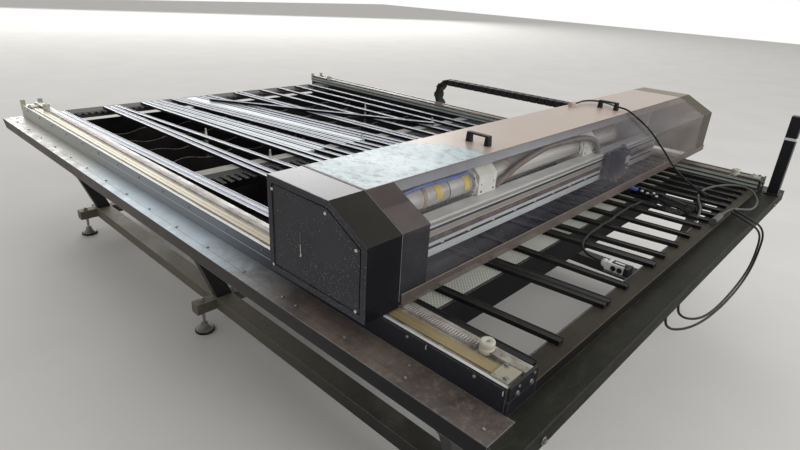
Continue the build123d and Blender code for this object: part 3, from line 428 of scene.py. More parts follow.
def strip_material():
    """The cover's lower edge: smoky rose-brown, thin at the near end."""
    p = Paint("strip_rose")
    big = p.noise(8.0, 5.0, 0.65)
    base = p.mix(p.times(p.edges(0.003), 0.6), p.tones(big, (84, 74, 71), (106, 95, 90)), (136, 124, 112))
    p.bump(p.noise(90.0, 4.0, 0.7), 0.0004, 0.1)
    p.finish(base, p.vary(big, 0.4, 0.55), shine=0.25, alpha=p.ramp(p.axis("X"), -1.1, 0.1, 0.62, 0.94))


def gap_material():
    """Gap round the near cap's panel: painted black shade where it is open in front, grey at its back and
    foot.
    """
    p = Paint("gap_black")
    grey = p.tones(p.noise(40.0), (34, 34, 38), (58, 58, 62), 0.4, 0.6)
    # Painted shade: near black where the gap is open.
    open_part = p.times(p.ramp(p.axis("Y"), -1.1, -1.18), p.ramp(p.axis("Z"), 0.858, 0.87))
    p.finish(p.mix(open_part, grey, (3, 3, 4)), 0.85, shine=0.03)


def inside_material():
    """Inside of the hood: pale at the near end, brown towards the far one."""
    p = Paint("inside_hood")
    big = p.noise(4.0, 5.0, 0.65)
    base = p.mix(p.ramp(p.axis("X"), -0.1, 0.9), p.tones(big, (222, 218, 211), (238, 235, 230)),
                 p.tones(big, (104, 90, 80), (124, 108, 96)))
    p.finish(base, p.vary(big, 0.4, 0.6), shine=0.3)


def rail_wall_material():
    """The inner walls of the rails: grey with one dark line along them."""
    p = Paint("rail_wall")
    base = p.tones(p.noise(6.0, 5.0, 0.65), (148, 156, 150), (168, 176, 169))
    p.finish(p.mix(p.times(p.line(p.axis("Z"), 0.808, 0.0024), 0.9), base, (22, 23, 24)), 0.5, shine=0.3)


def ledge_material():
    """Folded sheet: dark brown dirt in front, and towards the back a painted pale blue-grey sheen and grey
    dust, lightened with painted light.
    """
    p = Paint("dusty_sheet")
    big = p.noise(3.2, 6.0, 0.68)
    mid = p.noise(17.0, 6.0, 0.72, warp=0.6)
    fine = p.noise(140.0, 4.0, 0.75)
    up = p.ramp(p.facing("Z"), 0.3, 0.9)
    dust = p.times(p.ramp(mid, 0.42, 0.7), up)
    far = p.ramp(p.axis("X"), -0.2, 0.2)
    front = p.colours(big, (0.3, (62, 55, 51)), (0.5, (92, 83, 77)), (0.72, (126, 115, 106)))
    front = p.mix(far, front, p.tones(big, (20, 20, 16), (34, 33, 27)))
    front = p.mix(p.times(dust, 0.3), front, (112, 100, 90))
    grit = p.times(p.ramp(p.noise(55.0, 5.0, 0.75), 0.5, 0.68), 0.5, up)
    front = p.mix(grit, front, (138, 124, 114))
    rust = p.times(p.ramp(p.noise(11.0, 6.0, 0.7, warp=0.8), 0.54, 0.7), 0.35)
    front = p.mix(rust, front, (92, 62, 52))
    wander = p.times(p.plus(mid, -0.5), 0.5)
    along = p.ramp(p.plus(p.axis("Y"), wander), -1.5, 1.8)
    # Painted sheen: pale blue-grey in the middle for reflected window light; further back, grey dust
    # lightened with painted light.
    back = p.colours(along, (0.12, (88, 82, 78)), (0.21, (140, 144, 147)), (0.3, (205, 219, 228)),
                     (0.54, (208, 222, 231)), (0.7, (216, 216, 208)), (1.0, (212, 209, 198)))
    back = p.mix(p.times(p.ramp(big, 0.5, 0.7), 0.25), back, (120, 118, 116))
    out = p.math("ABSOLUTE", p.plus(p.axis("X"), -TABLE_X * MM))
    # Painted shade: darker along the riser's foot, where the riser is reflected.
    foot = p.times(p.ramp(p.plus(out, p.times(big, 0.02)), 1.285, 1.245), 0.5)
    back = p.mix(foot, back, (98, 100, 102))
    base = p.mix(p.ramp(along, 0.12, 0.22), front, back)
    stain = p.times(p.ramp(p.noise(7.0, 6.0, 0.75, warp=1.2), 0.56, 0.7), p.ramp(along, 0.3, 0.1, 0.06, 0.4))
    base = p.mix(stain, base, (24, 22, 22))
    base = p.mix(p.times(p.line(out, 1.303, 0.0016), 0.6), base, (70, 70, 72))
    lip = p.mix(p.ramp(along, 0.15, 0.5), (20, 20, 23), (80, 74, 71))
    base = p.mix(p.times(p.ramp(p.facing("Z"), 0.6, 0.2), 0.9), base, lip)
    # Bright edges: partly rubbed paint, partly painted highlight.
    base = p.edge_wear_and_highlight(base, (158, 160, 164), 0.005, 0.8, fine, 0.3, 0.55, 0.3)
    rough = p.ramp(p.plus(dust, mid), 0.4, 1.3, 0.3, 0.56)
    p.bump(fine, 0.0008, 0.25)
    p.bump(mid, 0.002, 0.06)
    p.finish(base, p.plus(rough, p.times(far, 0.3)), shine=0.42)


def lip_material():
    """The side ledges' lips: dark paint with a bright edge, partly rubbed paint and partly painted highlight,
    browner towards the back.
    """
    p = Paint("ledge_lip")
    big = p.noise(6.0, 5.0, 0.65)
    fine = p.noise(140.0, 4.0, 0.75)
    along = p.ramp(p.plus(p.axis("Y"), p.times(big, 0.4)), -1.3, 0.2)
    base = p.mix(along, p.tones(big, (14, 15, 18), (28, 29, 32)), (80, 74, 71))
    # Bright edge: partly rubbed paint, partly painted highlight.
    base = p.edge_wear_and_highlight(base, (158, 160, 164), 0.004, 0.85, fine, 0.3, 0.55, 0.3)
    p.bump(fine, 0.0006, 0.2)
    p.finish(base, p.vary(big, 0.4, 0.6), shine=0.16)


def front_material(name, dark, light):
    """Front beam and ledge: old dark paint under thin oily dust."""
    p = Paint(name)
    mid = p.noise(24.0, 6.0, 0.72, (0.4, 1, 1), 0.5)
    fine = p.noise(150.0, 4.0, 0.75)
    dust = p.times(p.ramp(mid, 0.45, 0.7), p.ramp(p.facing("Z"), 0.3, 0.9), 0.3)
    base = p.mix(dust, p.tones(p.noise(4.0, 6.0, 0.7), dark, light), (82, 78, 68))
    base = p.mix(p.times(p.ramp(p.facing("Z"), 0.6, 0.2), 0.9), base, (15, 15, 14))
    # Bright edge: partly rubbed paint, partly painted highlight.
    base = p.edge_wear_and_highlight(base, (128, 126, 116), 0.004, 0.7, fine, least=0.2)
    p.bump(fine, 0.0006, 0.2)
    p.finish(base, p.vary(mid, 0.5, 0.7), shine=0.12)


def cover_material():
    """Clear cover: cool haze near, brown haze on the far side, long faint streaks and scuffs."""
    p = Paint("clear_cover")
    streaks = p.noise(4.0, 6.0, 0.7, (0.3, 2.0, 2.0))
    lines = p.noise(150.0, 3.0, 0.6, (0.03, 1, 1))
    haze = p.times(p.ramp(streaks, 0.42, 0.72), p.ramp(lines, 0.35, 0.65, 0.6, 1.0))
    scuff = p.times(p.ramp(p.spots(17.0), 0.13, 0.03), p.ramp(p.noise(60.0), 0.45, 0.6), 0.16)
    far = p.ramp(p.axis("X"), -0.2, 1.15)
    alpha = p.plus(p.plus(p.times(haze, 0.07), p.plus(p.times(far, 0.47), 0.05)), scuff)
    base = p.mix(p.times(haze, 0.5), p.mix(far, (124, 124, 136), (90, 72, 58)), (190, 184, 180))
    p.finish(base, p.vary(streaks, 0.05, 0.14), shine=0.3, alpha=alpha)


def tube_material():
    """Laser tube glass: clear over a pale core."""
    p = Paint("tube_glass")
    base = p.tones(p.noise(60.0, 3.0, 0.5, (0.05, 1, 1)), (212, 207, 200), (236, 233, 228), 0.35, 0.65)
    p.finish(base, 0.12, alpha=0.55, coat=0.6)


def side_plate_material():
    """The long side plate: blue-black near the front, lighter grey towards the back, partly dust and partly
    painted light.
    """
    p = Paint("side_plate")
    big = p.noise(4.0, 5.0, 0.65, (1, 0.3, 1))
    fine = p.noise(90.0, 4.0, 0.75)
    # Lighter grey towards the back: partly dust, partly painted light.
    along = p.ramp(p.plus(p.axis("Y"), p.times(p.plus(big, -0.5), 0.3)), -1.2, 1.7)
    base = p.colours(along, (0.04, (25, 27, 34)), (0.1, (58, 62, 68)), (0.24, (118, 123, 130)),
                     (0.5, (146, 149, 152)), (1.0, (176, 175, 166)))
    speck = p.times(p.ramp(p.spots(110.0), 0.18, 0.06), p.ramp(big, 0.42, 0.6), 0.5)
    base = p.mix(speck, base, p.mix(p.ramp(along, 0.1, 0.25), (130, 132, 136), (52, 54, 58)))
    base = p.edge_wear_and_highlight(base, (150, 150, 150), 0.002, 0.7, fine, least=0.3)
    p.bump(fine, 0.0006, 0.2)
    p.finish(base, p.vary(big, 0.38, 0.55), shine=0.35)


def stand_material():
    """The stand's ladder: black in front, under thick grey-brown dust towards the back."""
    p = Paint("stand_dusty")
    big = p.noise(4.0, 5.0, 0.65)
    fine = p.noise(60.0, 4.0, 0.7)
    back = p.ramp(p.plus(p.axis("Y"), p.times(big, 0.4)), -1.1, 0.3)
    film = p.times(p.math("MAXIMUM", back, p.ramp(big, 0.5, 0.8, 0.1, 0.4)),
                   p.ramp(p.facing("Z"), 0.0, 0.8, 0.4, 0.95), p.ramp(fine, 0.3, 0.65, 0.75, 1.0))
    base = p.mix(film, p.tones(big, (24, 24, 26), (42, 41, 41)), (150, 144, 126))
    base = p.edge_wear_and_highlight(base, (156, 152, 138), 0.004, 0.7, fine)
    p.bump(fine, 0.0006, 0.2)
    p.finish(base, p.vary(big, 0.5, 0.75), shine=0.25)


for make in (panel_material, comb_material, perforated_material, front_slat_material, belt_material,
             top_material, edge_strip_material, strip_material, gap_material, inside_material,
             rail_wall_material, ledge_material, lip_material, cover_material, tube_material,
             side_plate_material, stand_material):
    make()
rail_material("rail_aluminium", (170, 168, 160), (198, 196, 188), (88, 74, 54), 0.2, 0.85, 0.35)
rail_material("guide_steel", (96, 84, 82), (122, 108, 104), (52, 42, 36), 0.3, 0.9, 0.1)
rail_material("guide_rib", (188, 180, 177), (214, 207, 204), (84, 70, 60), 0.15, 0.7, 0.1)
front_material("front_brown", (40, 36, 30), (62, 56, 47))
front_material("front_olive", (22, 23, 18), (36, 36, 29))

SLOTS = {part["node"]: part["material_slot"] for part in frame["record"]["subparts"]}
BODY_OF = {
    node: body for body, members in frame["record"]["behaviour"]["bodies"].items() for node in members
}
for name, obj in nodes.items():
    obj.data.materials.clear()
    obj.data.materials.append(MAT[SLOTS[name]])


# Tools for pieces
def around(ring):
    """Each item of a ring with the next one."""
    return zip(ring, ring[1:] + ring[:1])


def smooth_path(points, steps):
    """A Catmull-Rom line through the points."""
    pts = [points[0] * 2 - points[1], *points, points[-1] * 2 - points[-2]]
    out = []
    for p0, p1, p2, p3 in zip(pts, pts[1:], pts[2:], pts[3:]):
        for k in range(steps):
            t = k / steps
            out.append(0.5 * (2 * p1 + (p2 - p0) * t + (2 * p0 - 5 * p1 + 4 * p2 - p3) * t * t
                              + (3 * p1 - p0 - 3 * p2 + p3) * t ** 3))
    out.append(pts[-2])
    return out


def resample(path, step):
    """The same line with points an even step apart."""
    out, carried = [path[0]], 0.0
    for a, b in zip(path, path[1:]):
        run = (b - a).length
        t = step - carried
        while t <= run:
            out.append(a.lerp(b, t / run))
            t += step
        carried = (carried + run) % step
    return out


def place_mesh(name, bm, mats, body, bevel, replaces, segments=2, angle=35):
    """Makes an object, rounds its edges, rides it on its body and hides the parts it replaces."""
    mesh = bpy.data.meshes.new(name)
    bm.to_mesh(mesh)
    bm.free()
    for mat in mats:
        mesh.materials.append(MAT[mat])
    obj = bpy.data.objects.new(name, mesh)
    scene.collection.objects.link(obj)
    if bevel:
        rounding = obj.modifiers.new("Bevel", "BEVEL")
        rounding.width = bevel * MM
        rounding.segments = segments
        rounding.limit_method = "ANGLE"
        rounding.angle_limit = math.radians(angle)
    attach(obj, body)
    if replaces:
        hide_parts(*replaces)
    return obj


class Kit:
    """Collects solids, given in millimetres, into one mesh with one slot per material used."""

    def __init__(self):
        self.bm = bmesh.new()
        self.mats = []

    def ring(self, points):
        return [self.bm.verts.new(at(*point)) for point in points]

    def skin(self, mat, faces, smooth=False):
        """Makes a face in one material from each row of corners."""
        if mat not in self.mats:
            self.mats.append(mat)
        for corners in faces:
            face = self.bm.faces.new(corners)
            face.material_index = self.mats.index(mat)
            face.smooth = smooth

    def box(self, mat, x0, x1, y0, y1, z0, z1):
        xs, ys, zs = sorted((x0, x1)), sorted((y0, y1)), sorted((z0, z1))
        corners = self.ring((x, y, z) for z in zs for y in ys for x in xs)
        order = ((0, 2, 3, 1), (4, 5, 7, 6), (0, 1, 5, 4), (2, 6, 7, 3), (0, 4, 6, 2), (1, 3, 7, 5))
        self.skin(mat, [[corners[i] for i in face] for face in order])

    def drawn(self, mat, low, high):
        """A closed solid between two flat rings of places."""
        low, high = self.ring(low), self.ring(high)
        sides = [(a, c, d, b) for (a, b), (c, d) in zip(around(low), around(high))]
        self.skin(mat, [low, high[::-1], *sides])

    def prism(self, mat, outline, x0, x1):
        """A closed outline of (y, z) pairs, drawn along X."""
        self.drawn(mat, [(x0, *place) for place in outline], [(x1, *place) for place in outline])

    def sheet(self, mat, outline, z0, z1):
        """A closed outline of (x, y) pairs, drawn up along Z."""
        self.drawn(mat, [(*place, z0) for place in outline], [(*place, z1) for place in outline])

    def frame(self, mat, outer, inner, x0, x1):
        """A flat frame between two closed (y, z) outlines, drawn along X."""
        rings = [self.ring([(x, *place) for place in line]) for x in (x0, x1) for line in (outer, inner)]
        for low, high in ((0, 1), (1, 3), (3, 2), (2, 0)):
            pairs = zip(around(rings[low]), around(rings[high]))
            self.skin(mat, [(a, b, d, c) for (a, b), (c, d) in pairs])

    def circle(self, centre, across, other, radius, segments):
        """Corners round a centre, or the centre alone where the radius is nothing."""
        turns = [math.tau * k / segments for k in range(segments if radius > 0 else 1)]
        return [self.bm.verts.new(
            centre + (across * math.cos(a) + other * math.sin(a)) * radius * MM) for a in turns]

    def through(self, mat, rings, smooth):
        """A closed skin through circles of corners."""
        most = max(len(ring) for ring in rings)
        full = [ring * (most // len(ring)) for ring in rings]
        faces = []
        for low, high in zip(full, full[1:]):
            for (a, b), (c, d) in zip(around(low), around(high)):
                corners = list(dict.fromkeys((a, b, d, c)))
                if len(corners) > 2:
                    faces.append(corners)
        faces += [ring for ring in (rings[0][::-1], rings[-1]) if len(ring) > 1]
        self.skin(mat, faces, smooth)

    def lathe(self, mat, base, axis, outline, segments=24, flat=False):
        """Turns (radius, height) pairs about an axis through base, with flat faces or a smooth side."""
        axis = Vector(axis).normalized()
        across = axis.orthogonal().normalized()
        other = axis.cross(across)
        self.through(mat, [
            self.circle(at(*base) + axis * (height * MM), across, other, radius, segments)
            for radius, height in outline
        ], not flat)

    def screw(self, mat, base, axis, dia, height):
        """Button-head screw with a hexagon socket."""
        r = dia / 2
        self.lathe(mat, base, axis, [
            (r, 0), (r, height * 0.3), (r * 0.86, height * 0.72), (r * 0.55, height),
            (r * 0.4, height), (r * 0.4, height * 0.45), (0, height * 0.45),
        ], 18)

    def bolt(self, mat, base, axis, dia, height, washer=None):
        """Hexagon bolt head, with a washer under it when one is given."""
        lift = 0
        if washer is not None:
            lift = 1.6
            self.lathe(mat, base, axis, [(washer / 2, 0), (washer / 2, lift)])
        r = dia / 2
        self.lathe(mat, base, axis, [
            (r, lift), (r, lift + height * 0.8), (r * 0.88, lift + height), (0, lift + height),
        ], 6, True)

    def tube(self, mat, points, dia, segments=12, steps=8, ribs=None):
        """A round tube on a smooth line through points. ribs = (pitch, depth) makes it corrugated."""
        path = smooth_path([at(*point) for point in points], steps)
        if ribs is not None:
            path = resample(path, ribs[0] * MM / 4)
        side = None
        rings = []
        for k, here in enumerate(path):
            ahead = path[min(k + 1, len(path) - 1)] - path[max(k - 1, 0)]
            ahead.normalize()
            if side is None:
                side = ahead.orthogonal().normalized()
            side = (side - ahead * side.dot(ahead)).normalized()
            other = ahead.cross(side)
            radius = dia / 2
            if ribs is not None:
                radius -= ribs[1] * (0.0, 0.5, 1.0, 0.5)[k % 4]
            rings.append(self.circle(here, side, other, radius, segments))
        self.through(mat, rings, True)

    def done(self, name, body, slot, bevel=0.0, replaces=()):
        bmesh.ops.recalc_face_normals(self.bm, faces=self.bm.faces)
        return place_mesh(name, self.bm, self.mats, body, bevel, replaces)


def soften(*names, bevel=0.8, regions=(), segments=2, angle=30):
    """Copies of CAD solids with their edges rounded. regions = (test, material) paints faces."""
    for node in names:
        bm = bmesh.new()
        bm.from_mesh(nodes[node].data)
        bmesh.ops.remove_doubles(bm, verts=bm.verts, dist=1e-6)
        bmesh.ops.dissolve_limit(
            bm, angle_limit=math.radians(1.0), verts=bm.verts, edges=bm.edges, delimit={"NORMAL"})
        mats = [SLOTS[node]]
        for face in bm.faces:
            face.smooth = False
            centre = face.calc_center_median()
            mat = next((mat for test, mat in regions if test(face.normal, centre)), mats[0])
            if mat not in mats:
                mats.append(mat)
            face.material_index = mats.index(mat)
        place_mesh(node + "_finished", bm, mats, BODY_OF[node], bevel, (node,), segments, angle)


# Places and sizes that several pieces use
LEDGE_TOP, BED_TOP, RISER_TOP, RAIL_TOP = 750, 785, 790, 821
RAIL_OUT = 1225
SKIN = RAIL_OUT + 1.3
PLATE_FRONT, PLATE_BACK = -1790, 1862
FOOT_X, FOOT_Y = 1068, 1530
STRIP_X, STRIP_HALF = 1138, 1645
BELT_IN, BELT_OUT, BELT_HALF, TEETH_HALF = 1163, 1201, 1760, 1734
CAP_SIDE = -1298.5
ROOF, ROOF_FRONT, ROOF_BACK = 1139, -1238.5, -963
COVER_FRONT, COVER_LEFT, COVER_RIGHT = -1390, -1160, 1364
LASER_Y, LASER_Z, LASER_START = -1150, 1010, -1000
HEAD_X = 475


# Faces of the CAD solids that take a material of their own
def outer_face(normal, centre):
    """The rail module's outer side, which the black side plate covers."""
    return abs(normal.x) > 0.7 and abs(centre.x / MM - TABLE_X) > RAIL_OUT - 3


def rail_wall(normal, centre):
    """The rail module's inner side, towards the bed."""
    return abs(normal.x) > 0.9 and abs(centre.x / MM - TABLE_X) < 1102


def slope_face(normal, centre):
    """The hood's slope between the roof and the front."""
    return normal.z > 0.3 and normal.y < -0.3


def roof_face(normal, centre):
    return normal.z > 0.9


def ceiling_face(normal, centre):
    return normal.z < -0.7


def front_face(normal, centre):
    return normal.y < -0.7


def near_face(normal, centre):
    return normal.x < -0.9


def far_face(normal, centre):
    return normal.x > 0.9


def lip_face(normal, centre):
    return abs(normal.z) < 0.4


def anywhere(normal, centre):
    return True


def groove_floor(normal, centre):
    """The floor of the groove in a slat's top, on the bed or one slat higher."""
    slat_height = 15.0
    return normal.z > 0.9 and 12.0 < (centre.z / MM - BED_TOP) % slat_height < 14.0


def pale_groove(normal, centre):
    """Grooves of the rows left of the middle, which are given the palest painted reflection."""
    return groove_floor(normal, centre) and -0.66 < centre.x < -0.42


def beam_groove(normal, centre):
    """The floors and sides of the two grooves in the beam's front."""
    return (-1249.5 < centre.y / MM < -1240 and centre.x > -1.2
            and (normal.y < -0.9 or abs(normal.z) > 0.9))


def recess_face(normal, centre):
    """The floor and walls of the recess round the near cap's panel."""
    return 0.4 < centre.x / MM - CAP_SIDE - TABLE_X < 12


soften("ledge_near", "ledge_far", regions=[(lip_face, "ledge_lip")])
soften("front_comb", "middle_comb", "back_comb", "stop_bars", "belt_clamps", "front_end_plates",
       "back_end_brackets", "post")
soften("ledge_front", regions=[(anywhere, "front_olive")])
soften("front_beam", regions=[(anywhere, "front_brown")])
soften("support_strip", bevel=0.4, regions=[(roof_face, "perforated")])
soften("tray_dividers", bevel=0.3, regions=[(anywhere, "divider")])
soften("side_frame_near", "side_frame_far", regions=[(outer_face, "side_plate")])
soften("base_frame", bevel=3.0, regions=[(anywhere, "stand_dusty")], segments=3)
soften("legs_near", "legs_far", bevel=3.0, segments=3)
soften("front_slats", bevel=0.5, regions=[(anywhere, "front_slat")])
# Painted reflection: the back slats' tops and groove floors are pale blue-grey for the glare of the windows.
soften("back_slats", bevel=0.5, regions=[
    (pale_groove, "groove_pale"), (groove_floor, "groove_slate"), (roof_face, "slat_grey")])
soften("guide_rail_near", "guide_rail_far", bevel=0.6, regions=[
    (outer_face, "side_plate"), (rail_wall, "rail_wall")])
# The recess round the panel takes the gap's painted black shade.
soften("hood_cap_near", bevel=2.0, regions=[
    (recess_face, "gap_black"), (slope_face, "slope_olive"), (roof_face, "roof_black"),
    (near_face, "panel_black"), (far_face, "panel_black")])
soften("hood_cap_far", bevel=2.0, regions=[
    (slope_face, "far_slope"), (roof_face, "far_roof"), (near_face, "far_wall"),
    (lambda normal, centre: normal.y < -0.9, "far_front"), (far_face, "panel_black")])
soften("inner_housing", regions=[(slope_face, "slope_rose"), (anywhere, "housing_black")])
soften("cap_panel", bevel=0.5, regions=[(anywhere, "panel_black")])
soften("top_edge_strip", "bottom_strip", bevel=0.5)
soften("hood_window", bevel=0.5, regions=[(near_face, "milky")])
soften("hood_back", bevel=0.5, regions=[(front_face, "inside_hood")])
soften("hood_top", bevel=1.0, regions=[(ceiling_face, "inside_hood")])
soften("head_guide", "end_carriage_near", "end_carriage_far")
# Painted shade: the floors and sides of the beam's two grooves are dark.
soften("gantry_beam", bevel=0.6, regions=[(beam_groove, "groove_dark")])


# Pieces
def make_rail_strips():
    """Ribbed strips in place of the plain ones, each rib across the strip."""
    kit = Kit()
    pitch, rib, inset, half = 9.0, 5.0, 1.0, 11
    top = RAIL_TOP + 8
    for side in (NEAR, FAR):
        x0, x1 = side * (STRIP_X - half), side * (STRIP_X + half)
        kit.box("guide_rib", x0, x1, -STRIP_HALF, STRIP_HALF, RAIL_TOP, top - inset)
        kit.box("guide_steel", x0 + side * 1.8, x1 - side * 1.8, 1 - STRIP_HALF, STRIP_HALF - 1,
                top - inset, top - inset + 0.2)
        y = -STRIP_HALF + pitch / 2
        while y < STRIP_HALF - rib:
            kit.box("guide_rib", x0 + side * 1.5, x1 - side * 1.5, y, y + rib, top - inset, top)
            y += pitch
    kit.done("rail_strips", "table", "guide_steel", replaces=("linear_rails",))


def make_belts():
    """Toothed belts: a flat band with a row of teeth along each edge and a line in the middle."""
    kit = Kit()
    top, tooth, pitch = RAIL_TOP + 4, 5, 10
    for side in (NEAR, FAR):
        kit.box("belt", side * BELT_IN, side * BELT_OUT, -BELT_HALF, BELT_HALF, RAIL_TOP, top - 0.8)
        y = -float(TEETH_HALF)
        while y < 1730:
            for x in (1163.4, 1198.4):
                kit.box("belt_tooth", side * x, side * (x + 2.2), y, y + tooth, top - 0.8, top)
            y += pitch
        kit.box("belt_tooth", side * 1181, side * 1183, -TEETH_HALF, TEETH_HALF, top - 0.8, top - 0.5)
    kit.done("toothed_belts", "table", "belt", replaces=("drive_belts",))


def make_stops():
    """Turned rubber stops with a rounded rim, a bore and a screw down in it."""
    kit = Kit()
    for side in (NEAR, FAR):
        for y in (-1671, 1671):
            kit.lathe("stop_rubber", (side * STRIP_X, y, RAIL_TOP), UP, [
                (19, 0), (20, 2), (20, 15), (18.8, 17), (18.8, 19), (20, 21), (20, 32), (18.5, 34.6),
                (16, 35), (8, 35), (6.2, 33.5), (6, 18)], 40)
            kit.screw("screw", (side * STRIP_X, y, RAIL_TOP + 18), UP, 11, 6)
    kit.done("buffer_stops", "table", "stop_rubber", replaces=("rail_stops",))


def make_feet():
    """Levelling feet: a turned pad, a threaded stud and two chamfered nuts."""
    pads, studs = Kit(), Kit()
    nut = [(11.5, 0), (13, 1.2), (13, 10.8), (11.5, 12)]
    for side in (NEAR, FAR):
        for y in (-FOOT_Y, 0, FOOT_Y):
            base = (side * FOOT_X, y, 0)
            pads.lathe("pad_rubber", base, UP, [(44, 0), (47.5, 2), (47.5, 10), (46, 13)], 48)
            pads.lathe("pad_grey", base, UP, [
                (43, 12.4), (44, 14), (38, 15.8), (24, 26), (18, 36), (17, 46), (15, 50)], 48)
            thread = [(8, 50)]
            for z in range(51, 188, 2):
                thread += [(8, z), (7.1, z + 1)]
            studs.lathe("zinc", base, UP, [*thread, (6.5, 190)], 20)
            for z in (104, 172):
                studs.lathe("zinc", (side * FOOT_X, y, z), UP, nut, 6, True)
    pads.done("levelling_pads", "table", "pad_grey", replaces=("foot_pads",))
    studs.done("levelling_studs", "table", "zinc", replaces=("foot_studs",))


def make_table_details():
    """Fasteners of the table, its side plates, rail edges and hooks, and the pale tie round the post."""
    kit = Kit()
    ledge_x, plate_z, end_y, lip_y = 1297, 809, -1800, -1885
    for y in (-1786, -1547, -1310, -1086, -1021, -800, -560, -330, -95, 130, 360, 590, 815, 1050, 1275,
              1500, 1720):
        for side in (NEAR, FAR):
            kit.screw("screw", (side * ledge_x, y + draw.uniform(-4, 4), LEDGE_TOP), UP, 10, 4)
    kit.screw("screw", (-1253, -1517, LEDGE_TOP), UP, 9, 3.5)
    for y in (-1700, -1480, -1250, -1030, -806, -581, -300, -77, 150, 380, 610, 830, 1060, 1290, 1510, 1730):
        for side in (NEAR, FAR):
            kit.screw("screw", (side * SKIN, y, plate_z), (side, 0, 0), 10, 3.5)
    for side in (NEAR, FAR):
        for x, z in ((1190, 822), (1122, 824)):
            kit.bolt("screw", (side * x, end_y, z), FRONT, 9, 4)
        for x in (1192, 1130):
            kit.bolt("screw", (side * x, end_y, 800), FRONT, 11, 4, 17)
    for x in (-1192, 1130):
        kit.bolt("screw", (x, lip_y, 716), FRONT, 14, 6, 22)
    for side in (NEAR, FAR):
        kit.box("side_plate", side * (RAIL_OUT - 0.1), side * SKIN, PLATE_FRONT, PLATE_BACK,
                LEDGE_TOP + 1, RAIL_TOP - 1)
        kit.box("rail_edge", side * (RAIL_OUT - 9.5), side * (RAIL_OUT - 0.4), PLATE_FRONT, PLATE_BACK,
                RAIL_TOP + 4.9, RAIL_TOP + 5.4)
        kit.box("beam_light", side * SKIN, side * (SKIN + 0.4), -940, 720, RISER_TOP - 0.6, RISER_TOP + 0.9)
        for end in (NEAR, FAR):
            for x, y in ((1160, 1746), (1204, 1772)):
                kit.bolt("screw", (side * x, end * y, RAIL_TOP + 10), UP, 10, 4.5, 15)
    for y, z in ((-1547, 811), (-1783, 809)):
        hook = ((-SKIN, y, z + 5), (-1230, y - 1, z + 6), (-1232, y - 2, z + 1), (-1230, y - 1, z - 4),
                (-SKIN, y, z - 5))
        kit.tube("clamp_cream", hook, 3, 10, 5)
    kit.box("plug_white", 1194.4, 1245.6, -1875.6, -1824.4, 1040, 1053)
    kit.done("table_screws", "table", "zinc")


def make_hood_screws():
    """Screws round the near cap's panel and along the hood's back."""
    kit = Kit()
    for y, z in ((-985, 1099), (-1349, 1036), (-981, 851), (-1352, 855), (-1226, 1099)):
        kit.screw("beam_light", (CAP_SIDE + 2, y, z), LEFT, 10, 3.4)
    for x in (-1040, -640, -240, 160, 560, 960, 1300):
        for z in (1110, 870):
            kit.screw("screw", (x, ROOF_BACK - 3, z), BACK, 9, 3)
    kit.done("hood_screws", "gantry", "zinc")


HOSE_IN_HOOD = (
    (-432, -1128, 900), (-432, -1145, 930), (-434, -1180, 965), (-428, -1206, 997), (-372, -1208, 1021),
    (-300, -1208, 1043), (-200, -1208, 1062), (-101, -1210, 1077), (30, -1224, 1082), (150, -1230, 1077),
    (237, -1231, 1064), (300, -1231, 1043), (345, -1230, 1010), (368, -1226, 977), (385, -1210, 942),
    (392, -1180, 912), (392, -1152, 892),
)
WATER_HOSE = (
    (-1040, -1196, 1050), (-983, -1208, 1070), (-930, -1214, 1081), (-870, -1215, 1083), (-790, -1214, 1080),
    (-722, -1211, 1076), (-655, -1203, 1074), (-622, -1182, 1073), (-612, -1160, 1064), (-611, -1152, 1050),
)
WATER_PIPE = (
    (-1036, -1130, 1062), (-700, -1110, 1078), (-300, -1104, 1084), (200, -1104, 1084), (640, -1120, 1066),
)
RED_LEAD = (
    (-470, -1150, 1052), (-440, -1150, 1082), (-380, -1120, 1090), (-320, -1070, 1040), (-300, -1040, 960),
)


